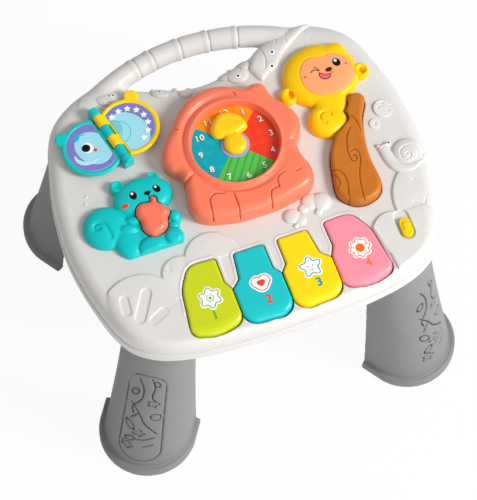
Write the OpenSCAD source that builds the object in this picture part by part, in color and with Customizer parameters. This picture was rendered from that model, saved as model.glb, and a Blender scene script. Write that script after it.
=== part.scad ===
// Musical activity table for a child: a moulded play deck on four C-shaped legs.
// Millimetres, +Z up. The origin is on the floor, under the middle of the outer box.
// Inside this file most pieces are drawn in deck coordinates: X to the right,
// Y to the back, Z = 0 on the deck's flat top, with Y = 0 at the clock housing.

/* [Table] */
// Height of the play deck above the floor
deck_h = 261.5; // [235:0.5:300]
// Width of the body across its widest place
body_w = 356; // [350:1:400]
// Distance from the clock line to the front edge
body_front = 184; // [183:1:200]
// Distance from the clock line to the back corners
body_back = 105; // [104:1:120]
// Depth of the upper shell at its rim
upper_h = 20; // [19:0.5:26]
// Depth of the lower shell
lower_h = 16; // [15:0.5:24]
// Wall of the moulded shells
wall = 2.5; // [2:0.1:3]
// Width of the rounded edge on the sides
edge_w = 14; // [10:0.5:16]
// Drop of the rounded edge
edge_drop = 11; // [8:0.5:13]
// Step by which the lower shell stands proud of the upper one
rim_step = 1; // [0.6:0.1:2]

/* [Handle] */
// Radius of the handle tube
handle_r = 10.9; // [9:0.1:11]
// Radius of the arch that the tube follows
handle_arch_r = 200; // [190:1:215]
// Height of the arch's crown behind the clock line
handle_crown = 121.4; // [119:0.2:135]
// Wall of the handle tube
handle_wall = 2.5; // [2:0.1:4]
// How far the joints of the cane stand proud
collar_rise = 1.3; // [0.6:0.1:2]

/* [Legs] */
// Outer radius of a foot rim
foot_r = 48.5; // [44:0.5:54]
// Height of the foot rim
foot_rim_h = 11; // [8:0.5:16]
// Outer radius of a leg's wall just above the rim
leg_r_low = 44.5; // [41:0.5:48]
// Outer radius of a leg's wall under the body
leg_r_top = 34; // [30:0.5:36]
// Straight side of the U section beyond its half circle, at the floor
leg_side = 21; // [8:0.5:24]
// The same side under the body, so that the open side stands upright
leg_side_top = 7; // [4:0.5:18]
// Wall of a leg
leg_wall = 3; // [2.5:0.1:4]
// Distance from the body's side to a leg's middle at the top
leg_inset_x = 62; // [58:0.5:70]
// Distance from the front edge to a front leg's middle at the top
leg_inset_front = 51; // [48:0.5:60]
// Distance from the back corners to a back leg's middle at the top
leg_inset_back = 35; // [34:0.5:46]
// Outward lean of every leg along X
lean_x = 22; // [10:0.5:30]
// Forward lean of the front legs
lean_front = 10; // [4:0.5:20]
// Backward lean of the back legs
lean_back = 26; // [10:0.5:30]
// Turn of a leg's outer side away from straight forward
leg_turn = 34; // [25:1:45]
// Height of the spigot that plugs a leg into the body
spigot_h = 10; // [6:0.5:12]

/* [Clock] */
// Middle of the dial from the table's middle
clock_x = 4.9; // [-5:0.1:10]
// Middle of the dial from the clock line
clock_y = -4.4; // [-8:0.1:4]
// Height of the clock housing above the deck
clock_h = 21; // [18:0.5:26]
// Radius of the dial window
window_r = 41; // [36:0.5:42]
// Depth of the window below the housing's top
window_depth = 8; // [6:0.5:10]
// Width of the raised ring round the window
bezel_w = 5; // [3:0.5:6]
// Radius of the clock hand's hub
hub_r = 11; // [8:0.5:13]
// Radius of the shaft that the hand turns on
shaft_r = 3; // [2:0.1:4]
// Thickness of the clock hand
hand_t = 6; // [4:0.2:7]

/* [Keyboard] */
// Middle of the keyboard from the table's middle
keys_x = 2.4; // [-4:0.1:6]
// Height of a key's top above the deck
key_top = 2.2; // [1:0.1:4]
// Depth of a key's skirt below the deck
key_skirt = 9; // [7:0.5:11]
// Front line of the inner keys
key_front = 179.3; // [176:0.1:179.5]
// Back line of the keys
key_back = 104; // [102:0.5:106]
// Gap round each key
key_gap = 0.8; // [0.6:0.1:1.2]
// Wall of a key
key_wall = 2; // [1.6:0.1:2.4]
// Distance from a key's back line to the pivot rod
rod_back = 11; // [9:0.5:12]
// Depth of the pivot rod below the deck
rod_drop = 8.5; // [8:0.1:10]
// Radius of the pivot rod
rod_r = 1.5; // [1.2:0.1:2]
// Radial running clearance of every pivot
run_gap = 0.06; // [0.03:0.01:0.1]

/* [Figures] */
// Height of the squirrel's head above the deck
squirrel_h = 12; // [10:0.5:16]
// Travel of the acorn button
acorn_travel = 3; // [2:0.1:3.2]
// Height of the monkey's head above the deck
monkey_h = 12; // [10:0.5:16]
// Height of the tree trunk above the deck
trunk_h = 11; // [8:0.5:14]
// Gap round a moving figure
figure_gap = 0.7; // [0.5:0.1:1.2]

/* [Book] */
// Length of the book's hinge over both posts
hinge_len = 66; // [60:0.5:72]
// Height of the hinge's axis above the deck
hinge_z = 9; // [8:0.1:12]
// Outer radius of the hinge's knuckles
knuckle_r = 4.5; // [4:0.1:5]
// Radius of a page
page_r = 29.5; // [26:0.5:31]
// Thickness of a page
page_t = 4; // [3:0.1:4.4]
// Width of a page's frame
page_frame = 4.5; // [3:0.5:7]

/* [Slide switch] */
// Length of the switch knob
knob_l = 20; // [16:0.5:22]
// Width of the switch knob
knob_w = 11; // [9:0.5:13]
// Travel of the switch knob
knob_travel = 9; // [6:0.5:10]

/* [Hidden] */
$fn = 48;

WHITE = [0.92, 0.91, 0.89];
GREY = [0.57, 0.58, 0.58];
CORAL = [1.0, 0.49, 0.39];
TEAL = [0.2, 0.78, 0.78];
YELLOW = [1.0, 0.82, 0.08];
BROWN = [0.75, 0.45, 0.18];
LIME = [0.78, 0.84, 0.16];
PINK = [1.0, 0.59, 0.65];
LAVENDER = [0.59, 0.57, 0.8];
PALE_BLUE = [0.65, 0.88, 0.92];
PEACH = [1.0, 0.67, 0.47];

half_w = body_w / 2;
body_t = upper_h + lower_h;
leg_x = half_w - leg_inset_x;
leg_front_y = -body_front + leg_inset_front;
leg_back_y = body_back - leg_inset_back;
foot_x = leg_x + lean_x;
foot_front_y = leg_front_y - lean_front;
foot_back_y = leg_back_y + lean_back;
// The outer box runs from the front feet to the back feet.
origin_y = (foot_back_y + foot_front_y) / 2;

// ---------- helpers ----------
module on_deck() translate([0, -origin_y, deck_h]) children();

// A point on a closed Catmull-Rom curve through p.
function curve_point(p, i, t) =
    let (n = len(p), a = p[(i + n - 1) % n], b = p[i], c = p[(i + 1) % n], d = p[(i + 2) % n])
    0.5 * (2 * b + (c - a) * t + (2 * a - 5 * b + 4 * c - d) * t * t
        + (3 * b - a - 3 * c + d) * t * t * t);
function curve(p, k) = [for (i = [0 : len(p) - 1], j = [0 : k - 1]) curve_point(p, i, j / k)];
function unit(v) = v / norm(v);
// Outward normal of a counter-clockwise outline at point i.
function outward(p, i) =
    let (n = len(p), t = unit(p[(i + 1) % n] - p[(i + n - 1) % n])) [t.y, -t.x];
function inset(p, d) = [for (i = [0 : len(p) - 1]) p[i] - d * outward(p, i)];
function lift(p, z) = [for (q = p) [q.x, q.y, z]];
function middle(p) = [for (k = [0 : 2]) let (v = [for (q = p) q[k]]) (min(v) + max(v)) / 2];
function arc(c, r, from, to, steps) =
    [for (i = [0 : steps]) let (a = from + (to - from) * i / steps) c + r * [cos(a), sin(a)]];
// Rounds the corners [x, y, radius] of a counter-clockwise outline.
function round_corners(p, steps) = [for (i = [0 : len(p) - 1])
    let (n = len(p), c = [p[i].x, p[i].y],
        a = unit([p[(i + n - 1) % n].x, p[(i + n - 1) % n].y] - c),
        b = unit([p[(i + 1) % n].x, p[(i + 1) % n].y] - c),
        half = acos(a * b) / 2, m = c + unit(a + b) * p[i][2] / sin(half),
        s = c + a * p[i][2] / tan(half), e = c + b * p[i][2] / tan(half))
    for (j = [0 : steps]) let (u = unit((s - m) * (steps - j) + (e - m) * j)) m + u * p[i][2]];

// A closed solid through a stack of rings with the same number of points, lowest first.
module loft(rings) {
    n = len(rings[0]);
    m = len(rings);
    points = [for (r = rings) each r, middle(rings[0]), middle(rings[m - 1])];
    sides = [for (k = [0 : m - 2], i = [0 : n - 1])
        let (j = (i + 1) % n, a = k * n + i, b = k * n + j, c = a + n, d = b + n)
        each [[a, c, b], [b, c, d]]];
    bottom = [for (i = [0 : n - 1]) [m * n, i, (i + 1) % n]];
    top = [for (i = [0 : n - 1]) [m * n + 1, (m - 1) * n + (i + 1) % n, (m - 1) * n + i]];
    polyhedron(concat(points), concat(sides, bottom, top));
}

// An outline raised from z0 to z1, its top edge rounded by an ellipse w wide and h high.
module pillow(outline, z0, z1, w, h, steps = 4) loft(concat([lift(outline, z0)],
    [for (k = [0 : steps]) let (a = 90 * k / steps)
        lift(inset(outline, w * (1 - cos(a))), z1 - h * (1 - sin(a)))]));

module tube(r_out, r_in, h) difference() {
    cylinder(r = r_out, h = h);
    translate([0, 0, -1]) cylinder(r = r_in, h = h + 2);
}

// A soft-edged oval bead on the deck, for the figures.
module bead(x, y, rx, ry, h, turn = 0, base = 0) translate([x, y, 0]) rotate(turn) hull() {
    translate([0, 0, base]) linear_extrude(0.1) scale([rx, ry]) circle(1, $fn = 28);
    translate([0, 0, base + (h - base) * 0.5]) linear_extrude(0.1)
        scale([rx, ry]) circle(1, $fn = 28);
    translate([0, 0, base + (h - base) * 0.85]) linear_extrude(0.1)
        scale([rx * 0.87, ry * 0.87]) circle(1, $fn = 28);
    translate([0, 0, h - 0.1]) linear_extrude(0.1) scale([rx * 0.6, ry * 0.6]) circle(1, $fn = 28);
}

// ---------- body ----------
body_half = [[0, -body_front], [60, -body_front + 1.5], [110, -body_front + 8.5],
    [half_w - 37, -body_front + 22], [half_w - 19, -body_front + 44],
    [half_w - 7.5, -body_front + 82], [half_w - 1, -body_front + 120],
    [half_w, -body_front + 150], [half_w - 4, -body_front + 192],
    [half_w - 12, body_back - 63], [half_w - 22, body_back - 33],
    [half_w - 38, body_back - 14], [half_w - 62, body_back - 1], [half_w - 82, body_back - 1],
    [66, body_back - 10], [32, body_back - 23], [0, body_back - 28]];
body_points = concat(body_half,
    [for (i = [len(body_half) - 2 : -1 : 1]) [-body_half[i].x, body_half[i].y]]);
body_line = curve(body_points, 4);

// The rounded edge is narrower along the front than on the sides and the back.
function edge_share(i) = 1 - 0.57 * pow(max(0, -outward(body_line, i).y), 3);
function edge_ring(d, z) = lift([for (i = [0 : len(body_line) - 1])
    body_line[i] - (rim_step + d * edge_share(i)) * outward(body_line, i)], z);
// The same ring one wall further in.
function inner_ring(d, z) = lift([for (i = [0 : len(body_line) - 1])
    body_line[i] - (rim_step + wall + d * edge_share(i)) * outward(body_line, i)], z);
edge_steps = 5;

module upper_form() loft(concat([edge_ring(0, -upper_h)],
    [for (k = [0 : edge_steps]) let (a = 90 * k / edge_steps)
        edge_ring(edge_w * (1 - cos(a)), -edge_drop * (1 - sin(a)))]));

module upper_hollow() loft([inner_ring(0, -upper_h - 1), inner_ring(0, -edge_drop - wall),
    inner_ring(edge_w * 0.35, -edge_drop * 0.25 - wall), inner_ring(edge_w, -wall)]);

// ---------- handle ----------
handle_x = -2;
handle_y = handle_crown - handle_arch_r;
// The tube clears the lower shell where it runs into the body.
handle_drop = upper_h - handle_r - 0.3;
handle_half_angle = 30;
collar_angles = [-15, -9.8, -1.4, 6.9, 15];
collar_half = 0.5;

module handle_arc(r, from, to) translate([handle_x, handle_y, -handle_drop])
    rotate(90 - to) rotate_extrude(angle = to - from) translate([handle_arch_r, 0]) circle(r);

module handle() {
    handle_arc(handle_r, -handle_half_angle, handle_half_angle);
    for (a = collar_angles) {
        handle_arc(handle_r + collar_rise, a - collar_half, a + collar_half);
        handle_arc(handle_r + collar_rise / 2, a - 2 * collar_half, a + 2 * collar_half);
    }
}
module handle_bore() handle_arc(handle_r - handle_wall, -handle_half_angle - 1, handle_half_angle + 1);

// ---------- keyboard ----------
// Corners [x, y, radius] of a key, from its back left corner, counter-clockwise.
function outer_key(s) = let (p = [[-99.8, -body_front + 13.5, 9], [-73, -key_front + 1.6, 50],
    [-49.4, -key_front + 8, 11], [-49.2, -137, 3.2], [-54, -128, 5],
    [-53.6, -key_back + 1.5, 3], [-80, -key_back + 2.5, 14], [-93, -122, 40]])
    s < 0 ? p : [for (i = [len(p) - 1 : -1 : 0]) [-p[i].x, p[i].y, p[i][2]]];
function inner_key(s) = let (p = [[-48.4, -key_front + 2.5, 13], [-0.6, -key_front + 0.2, 13],
    [-0.6, -137.5, 3.2], [-6.6, -130, 5], [-6.8, -key_back, 3],
    [-36, -key_back, 3], [-39.4, -130, 5], [-48.4, -138, 3.2]])
    s < 0 ? p : [for (i = [len(p) - 1 : -1 : 0]) [-p[i].x, p[i].y, p[i][2]]];
function key_line(k) = [for (p = round_corners(
    k == 0 ? outer_key(-1) : k == 1 ? inner_key(-1) : k == 2 ? inner_key(1) : outer_key(1), 4))
    p + [keys_x, 0]];
key_arm_x = [-62, -22, 22, 62];
key_press_y = -152;
rod_y = -key_back + rod_back;
rod_len = 151;
front_round = 10;
front_zone = 26;
key_edge = 2.6;
key_lip = 14;

module key_cover(k) loft(concat([lift(key_line(k), -key_skirt - 1)],
    [for (a = [0 : 15 : 90]) let (z = key_top - front_round * (1 - sin(a)),
        rise = max(0, z - key_top + key_edge) / key_edge, pull = front_round * (1 - cos(a)))
        [for (p = inset(key_line(k), key_edge * (1 - sqrt(1 - rise * rise))))
            [p[0], p[1] + pull * max(0, 1 - (p[1] + key_front) / front_zone), z]]]));

module key(k) on_deck() difference() {
    x = keys_x + key_arm_x[k];
    union() {
        difference() {
            key_cover(k);
            translate([-body_w, -body_w, -key_skirt - 2]) cube([2 * body_w, 2 * body_w, 2]);
            intersection() {
                translate([0, 0, -key_skirt - 1]) linear_extrude(key_skirt + key_top - key_wall + 1)
                    polygon(inset(key_line(k), key_wall + 0.5));
                translate([-body_w, -key_front + key_lip, -key_skirt - 2])
                    cube([2 * body_w, 2 * key_front, 2 * key_skirt + 4]);
            }
        }
        translate([x - 9, -key_back - 4, -rod_drop - 3.5]) cube([18, rod_back + 7.5, 7]);
        translate([x, key_press_y, dome_top]) cylinder(r = 4, h = key_top - key_wall / 2 - dome_top);
    }
    translate([x - 15, rod_y, -rod_drop]) rotate([0, 90, 0])
        cylinder(r = rod_r + run_gap, h = 30);
}

module key_rod() on_deck() color("silver")
    translate([keys_x - rod_len / 2, rod_y, -rod_drop]) rotate([0, 90, 0])
        cylinder(r = rod_r, h = rod_len);

// ---------- rubber domes and boards ----------
board_z = -19.5;
board_t = 1.6;
dome_h = 8;
dome_top = board_z + board_t + dome_h + 0.2;

module dome(x, y) on_deck() color([0.35, 0.36, 0.38]) translate([x, y, board_z + board_t])
    rotate_extrude() polygon([[0, dome_h - 2], [3, dome_h - 2], [5.2, 0.8], [5.2, 0], [8, 0],
        [8, 1.2], [6.4, 1.2], [4.2, dome_h], [0, dome_h]]);

module board(x0, x1, y0, y1) on_deck() color([0.12, 0.4, 0.25])
    translate([x0, y0, board_z]) cube([x1 - x0, y1 - y0, board_t]);

// ---------- places and outlines of the figures ----------
housing_points = [[-49, -67], [-21, -75.5], [4, -77], [30, -75.5], [57.5, -68], [63.5, -52],
    [59, -33], [60.5, -20.5], [68, -9.5], [70, 5], [63, 20], [54.5, 31], [51.5, 45.5], [42, 50],
    [32, 48.5], [15, 57], [-3, 59.5], [-22, 54], [-37.5, 42], [-48, 29], [-59, 17], [-65.5, 2],
    [-62, -9.5], [-54.5, -17.5], [-54.5, -32], [-57.5, -52]];
housing_line = curve(housing_points, 2);
dial_z = clock_h - window_depth;
dial_t = 1;
rotor_r = 13;

acorn_points = [[-106.5, -41], [-104, -56], [-92, -64], [-80, -57], [-76, -42], [-81, -31],
    [-84, -25.5], [-90.5, -26], [-93, -30.5], [-101, -31]];
acorn_line = curve(acorn_points, 3);
acorn_x = -92;
acorn_y = -45;
acorn_top = squirrel_h + 2.5;
acorn_base = acorn_travel + 0.4;
stem_r = 4;

trunk_points = [[78, -82.5], [88, -95.5], [101, -99], [115, -94.5], [121, -83], [120, -60],
    [122.5, -36], [129, -14], [137.5, 2], [133.5, 10], [124, 9], [111, -10], [98, -24], [86.5, -42],
    [81, -62]];
trunk_line = curve(trunk_points, 3);
trunk_skirt = 6;
trunk_press_x = 103;
trunk_press_y = -78;
// The trunk turns on a pin near its upper end, square to its length.
trunk_turn = 73;
trunk_pin_x = 124;
trunk_pin_y = -2;
trunk_pin_drop = 8;
trunk_pin_half = 19;
trunk_lug = [-2, 6.5];
trunk_swing = 0.5;

head_x = 105;
head_y = 43;
torso = [105, 8, 15.5];
tail_curl = [95.5, -5.5, 18];

hinge_x = -109;
hinge_y = 78;
// Direction of the hinge, from its back post to its front post.
hinge_turn = -76.4;
post_len = 8;
knuckle_gap = 0.3;
page_top_drop = 0.3;
page_middle = 20;
page_start = 5.5;
rest_gap = 0.3;
picture_play = 0.05;

switch_inset = 52;
switch_x = half_w - switch_inset;
switch_y = -135;
slot_w = 5;
knob_rise = 4;
plateau_h = 1.6;

bracket_t = 3;
rod_bracket_x = [-74, -48.4, 0, 48.4, 74];
screw_r = 1.5;
small_screw_r = 1.2;

// Moves to the hinge: X along the pin, Y to the right page, Z up from the pin.
module at_hinge() on_deck() translate([hinge_x, hinge_y, hinge_z]) rotate(hinge_turn) children();
// Moves to the trunk's pin: Z along the pin, X down.
module at_trunk_pin() on_deck() translate([trunk_pin_x, trunk_pin_y, -trunk_pin_drop])
    rotate(trunk_turn - 90) rotate([0, 90, 0]) children();

side_boss_inset = 18;
back_boss_inset = 27;
boss_places = [[-leg_x + 48, body_back - back_boss_inset], [leg_x - 48, body_back - back_boss_inset],
    [-half_w + side_boss_inset, -30], [half_w - side_boss_inset, -30], [-40, -86], [44, -86]];
boss_r = 4;
boss_end = -upper_h + 1;
housing_posts = [[-38, -52], [47, -52], [5, 49]];
left_posts = [[-119, -30], [-65, -30], [-119, -58], [-65, -58]];
right_posts = [[73, -66], [129, -66], [73, -84], [129, -84]];

// ---------- relief on the deck ----------
relief_root = 0.6;
// A low rounded disc.
module mound(x, y, r, h, edge = 1.2) translate([x, y, -relief_root]) rotate_extrude()
    polygon([[0, 0], [r, 0], [r, relief_root], [r - edge * 0.3, h + relief_root - edge * 0.3],
        [r - edge, h + relief_root], [0, h + relief_root]]);
// A raised line along an arc.
module ridge(x, y, r, from, to, w = 2, h = 1.4) translate([x, y, -relief_root]) rotate(from)
    rotate_extrude(angle = to - from) polygon([[r - w / 2, 0], [r + w / 2, 0],
        [r + w / 4, h + relief_root], [r - w / 4, h + relief_root]]);
// A raised bar with round ends.
module pill(x, y, l, r, turn, h = 1.6) translate([x, y, -relief_root]) rotate(turn) {
    for (s = [-1, 1]) translate([s * l / 2, 0, 0]) cylinder(r = r, h = h + relief_root);
    translate([-l / 2, -r, 0]) cube([l, 2 * r, h + relief_root]);
}

module snail() {
    mound(154, -65, 15, 3.2, 2.4);
    mound(154, -65, 9.5, 4.4, 1.6);
    mound(154, -65, 4, 5.4, 1.4);
    pill(139, -58, 10, 5.5, 60, 2.6);
    pill(132, -45, 4, 1.3, 100, 3);
    pill(138, -45, 4, 1.3, 70, 3);
}

module bushes() {
    mound(156, -112, 32, plateau_h);
    mound(118, -143, 27, plateau_h);
    mound(-135, -122, 28, 1.6);
    mound(-86, -110, 19, 1.3);
    mound(-56, -99, 20, 1);
    mound(32, -88, 9, 3.4, 2.4);
    mound(58, -84, 11, 3.8, 2.6);
    mound(30, -96, 5, 2.4, 1.6);
    mound(61, -95, 6, 2.6, 1.6);
    mound(148, -11, 9, 2.6, 2);
    mound(137, -23, 5, 2, 1.6);
    pill(-144, -120, 8, 3.4, 95, 3);
    pill(-126, -123, 22, 3.8, 62, 3);
    pill(-117, -139, 8, 3, 28, 3);
    ridge(150, -106, 10, -20, 60, h = 2.8);
    ridge(160, -94, 8, 200, 280, h = 2.8);
}

// The row of animal heads along the back edge, each with two round ears and a snout.
module deck_animals() {
    for (p = [[-41, 79, 8], [-22, 68, 7], [34, 66, 8.5], [72, 76, 9]]) {
        mound(p.x, p.y, p[2], 3, 2.2);
        for (s = [-1, 1]) mound(p.x + s * p[2] * 0.75, p.y + p[2] * 0.6, p[2] * 0.35, 3.4, 1.4);
        mound(p.x, p.y - p[2] * 0.35, p[2] * 0.4, 3.8, 1);
    }
    ridge(-126, 80, 14, 20, 120);
    ridge(108, 92, 12, 30, 150);
}

// ---------- upper shell ----------
module well_outline(gap) for (k = [0 : 3]) polygon(inset(key_line(k), -gap));

well_wall = 1.6;
well_depth = key_skirt + 5;
module key_well_wall() difference() {
    translate([0, 0, -well_depth]) linear_extrude(well_depth - 1) difference() {
        well_outline(key_gap + well_wall);
        well_outline(key_gap);
    }
    // The keys' arms pass under the deck at the back, and the shell's own wall is the front.
    translate([-body_w, -key_back - 9, -well_depth - 1]) cube([2 * body_w, 30, well_depth + 1]);
    translate([-body_w, -key_front - key_gap - 40, -well_depth - 1])
        cube([2 * body_w, 40.2, well_depth + 2]);
}

module trunk_brackets() at_trunk_pin() for (s = [-1, 1])
    translate([-trunk_pin_drop + 1, -4, s * (trunk_pin_half - bracket_t / 2) - bracket_t / 2])
        cube([trunk_pin_drop + 3, 8, bracket_t]);

// Two low pads that the open pages lie on.
module page_pads() at_hinge() for (s = [-1, 1])
    translate([hinge_len / 2, s * (page_middle + page_r - 9), -hinge_z - relief_root])
        cylinder(r = 5, h = hinge_z + relief_root - page_top_drop - page_t - rest_gap);

module top_shell() color(WHITE) difference() {
    union() {
        on_deck() {
            difference() {
                upper_form();
                upper_hollow();
            }
            handle();
            key_well_wall();
            intersection() {
                translate([0, 0, -relief_root]) linear_extrude(squirrel_h)
                    polygon([for (q = edge_ring(edge_w, 0)) [q.x, q.y]]);
                union() {
                    snail();
                    bushes();
                    deck_animals();
                }
            }
            for (p = boss_places)
                translate([p.x, p.y, boss_end]) cylinder(r = boss_r, h = -boss_end - 1);
            for (p = concat(left_posts, right_posts))
                translate([p.x, p.y, board_z + board_t])
                    cylinder(r = 3, h = -board_z - board_t - 1);
            for (x = rod_bracket_x)
                translate([keys_x + x - bracket_t / 2, rod_y - 5, -rod_drop - 4])
                    cube([bracket_t, 10, rod_drop + 3]);
            translate([acorn_x, acorn_y, -9]) cylinder(r = stem_r + 3, h = 8);
        }
        page_pads();
        trunk_brackets();
    }
    on_deck() {
        handle_bore();
        translate([0, 0, -well_depth - 1]) linear_extrude(well_depth + 20)
            well_outline(key_gap);
        translate([0, 0, -wall - 1]) linear_extrude(30) polygon(inset(trunk_line, -figure_gap));
        translate([clock_x, clock_y, -10]) cylinder(r = rotor_r + 4, h = 20);
        translate([acorn_x, acorn_y, -20]) cylinder(r = stem_r + run_gap, h = 30);
        translate([keys_x - rod_len / 2 - 1, rod_y, -rod_drop]) rotate([0, 90, 0])
            cylinder(r = rod_r, h = rod_len + 2);
        switch_slot();
        for (p = boss_places)
            translate([p.x, p.y, boss_end - 1]) cylinder(r = screw_r, h = 11);
        for (p = housing_posts)
            translate([p.x, p.y, -10]) cylinder(r = small_screw_r + 0.3, h = 20);
        for (p = concat(left_posts, right_posts))
            translate([p.x, p.y, board_z]) cylinder(r = small_screw_r, h = 9);
    }
    at_trunk_pin() translate([0, 0, -trunk_pin_half]) cylinder(r = rod_r, h = 2 * trunk_pin_half);
}

module stadium(l, w) {
    for (s = [-1, 1]) translate([0, s * (l - w) / 2]) circle(w / 2);
    square([w, l - w], center = true);
}
slot_l = knob_l - 7 + knob_travel;
module switch_slot() translate([switch_x, switch_y + knob_travel / 2, -wall - 1])
    linear_extrude(10) stadium(slot_l, slot_w);

// ---------- lower shell ----------
socket_play = 0.2;
spigot_wall = 2;
floor_z = -body_t;
box_x = [-30, 30];
box_y = [-42, 10];
box_top = -16.5;
door_play = 0.3;
door_ledge = 2;
box_wall = 4;
speaker_at = [-72, 18];
speaker_r = 20;
board_posts = [[-72, -163], [72, -163], [-72, -123], [72, -123]];
door_screw_at = [0, 6.5];

function lower_ring(d, z) = lift(inset(body_line, d), z);

// A half revolve closed by two straight sides: the U section of a leg. X points outwards.
module u_form(profile, side) {
    rotate(-90) rotate_extrude(angle = 180) polygon(profile);
    for (s = [0, 1]) mirror([0, s, 0]) translate([-side, 0, 0]) rotate([90, 0, 90])
        linear_extrude(side) polygon(profile);
}
function band(r0, r1, z0, z1) = [[r0, z0], [r1, z0], [r1, z1], [r0, z1]];
// Each leg: [foot x, foot y, top x, top y, direction that its outer side faces].
LEGS = [[-foot_x, foot_front_y, -leg_x, leg_front_y, 270 - leg_turn],
    [foot_x, foot_front_y, leg_x, leg_front_y, 270 + leg_turn],
    [-foot_x, foot_back_y, -leg_x, leg_back_y, 90 + leg_turn],
    [foot_x, foot_back_y, leg_x, leg_back_y, 90 - leg_turn]];
module at_leg_top(leg) translate([leg[2], leg[3], -body_t]) rotate(leg[4]) children();

module bottom_shell() color(WHITE) on_deck() difference() {
    union() {
        difference() {
            loft([lower_ring(4, -body_t), lower_ring(1.2, -body_t + 1.2),
                lower_ring(0, -body_t + 4), lower_ring(0, -upper_h)]);
            loft([lower_ring(wall + 1.6, -body_t + wall), lower_ring(wall, -body_t + 5),
                lower_ring(wall, -upper_h + 1)]);
        }
        for (leg = LEGS) at_leg_top(leg)
            u_form(band(leg_r_top - spigot_wall - 5, leg_r_top + 0.5, 1, spigot_h), leg_side_top);
        for (p = boss_places)
            translate([p.x, p.y, -body_t + 1]) cylinder(r = boss_r + 1, h = boss_end + body_t - 1);
        for (p = board_posts)
            translate([keys_x + p.x, p.y, -body_t + 1]) cylinder(r = 3, h = board_z + body_t - 1);
        translate([box_x[0] - box_wall, box_y[0] - box_wall, -body_t + 1])
            cube([box_x[1] - box_x[0] + 2 * box_wall, box_y[1] - box_y[0] + 2 * box_wall,
                box_top + body_t + 1]);
        translate([speaker_at.x, speaker_at.y, -body_t + 1]) tube(speaker_r + 2.2, speaker_r + 0.2, 9);
    }
    for (leg = LEGS) at_leg_top(leg) u_form(band(leg_r_top - spigot_wall - 2 - socket_play,
        leg_r_top - 2 + socket_play, -1, spigot_h + 0.5), leg_side_top + socket_play);
    for (p = boss_places) translate([p.x, p.y, -body_t - 1]) {
        cylinder(r = screw_r + 0.3, h = 40);
        cylinder(r = 3.4, h = 7);
    }
    translate([box_x[0], box_y[0], -body_t + wall])
        cube([box_x[1] - box_x[0], box_y[1] - box_y[0], box_top + body_t - wall]);
    translate([box_x[0] - door_ledge, box_y[0] - door_ledge, -body_t - 1])
        cube([box_x[1] - box_x[0] + 2 * door_ledge, box_y[1] - box_y[0] + 2 * door_ledge, wall + 1]);
    for (r = [0 : 3], i = [0 : max(0, 6 * r - 1)]) translate([speaker_at.x, speaker_at.y, -body_t - 1])
        rotate(i * 60 / max(1, r)) translate([r * 4.6, 0, 0]) cylinder(r = 1.3, h = wall + 2);
}

// ---------- legs ----------
leg_h = deck_h - body_t;
leg_cap_t = 3;
panel_w = 42;
panel_l = 164;
panel_z = 104;
panel_line = 2;
panel_rise = 0.9;
leg_bands = 6;

// Outer radius of a leg's wall at a share t of its height: it flares towards the floor.
function leg_radius(t) = leg_r_top + (leg_r_low - leg_r_top) * pow(1 - t, 1.5);
function leg_profile(extra, length) = concat(
    [[leg_radius(0) - leg_wall, -12], [leg_radius(0) + extra, -12]],
    [for (i = [0 : leg_bands]) [leg_radius(i / leg_bands) + extra, i * length / leg_bands]],
    [[leg_r_top + extra, length + 8], [leg_r_top - leg_wall, length + 8]],
    [for (i = [leg_bands : -1 : 0]) [leg_radius(i / leg_bands) - leg_wall, i * length / leg_bands]]);

// The wall leans from the foot's middle to the middle of the leg's top.
module leaning(leg) {
    d = [leg[2] - leg[0], leg[3] - leg[1], leg_h];
    rotate(acos(d.z / norm(d)), [-d.y, d.x, 0]) rotate(leg[4]) children();
}
module panel_shape() difference() {
    translate([0, panel_z]) stadium(panel_l, panel_w);
    translate([0, panel_z]) stadium(panel_l - 2 * panel_line, panel_w - 2 * panel_line);
}
cap_r = leg_r_top - leg_wall / 2;
side_slope = atan((leg_side - leg_side_top) / leg_h);
module leg(leg) color(GREY) difference() {
    union() {
        intersection() {
            translate([leg[0], leg[1], 0]) leaning(leg) {
                intersection() {
                    u_form(leg_profile(0, leg_h), leg_side);
                    rotate([0, side_slope, 0]) translate([-leg_side, -2 * foot_r, -foot_r])
                        cube([4 * foot_r, 4 * foot_r, leg_h + 2 * foot_r]);
                }
                intersection() {
                    rotate(-90) rotate_extrude(angle = 180) polygon(leg_profile(panel_rise, leg_h));
                    rotate([90, 0, 90]) linear_extrude(2 * foot_r) panel_shape();
                }
            }
            translate([leg[0] - 3 * foot_r, leg[1] - 3 * foot_r, 0])
                cube([6 * foot_r, 6 * foot_r, leg_h]);
        }
        // Foot rim, level on the floor.
        translate([leg[0], leg[1], 0]) rotate(leg[4]) u_form([[leg_r_low - leg_wall - 1, 0], [foot_r, 0],
            [foot_r, foot_rim_h - 2.5], [foot_r - 1.2, foot_rim_h - 0.6],
            [foot_r - 2.6, foot_rim_h], [leg_r_low - leg_wall - 1, foot_rim_h]], leg_side);
        // Cap and spigot under the body.
        translate([leg[2], leg[3], leg_h]) rotate(leg[4]) {
            translate([0, 0, -leg_cap_t]) intersection() {
                union() {
                    cylinder(r = cap_r, h = leg_cap_t);
                    translate([-leg_side_top, -cap_r, 0]) cube([leg_side_top, 2 * cap_r, leg_cap_t]);
                }
                translate([-leg_side_top, -cap_r, 0]) cube([2 * cap_r, 2 * cap_r, leg_cap_t]);
            }
            u_form(band(leg_r_top - 2 - spigot_wall, leg_r_top - 2, -1, spigot_h), leg_side_top);
        }
    }
}
module place_leg(i) translate([0, -origin_y, 0]) leg(LEGS[i]);
module leg_front_left() place_leg(0);
module leg_front_right() place_leg(1);
module leg_back_left() place_leg(2);
module leg_back_right() place_leg(3);

// ---------- clock ----------
module at_clock() on_deck() translate([clock_x, clock_y, 0]) children();

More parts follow.
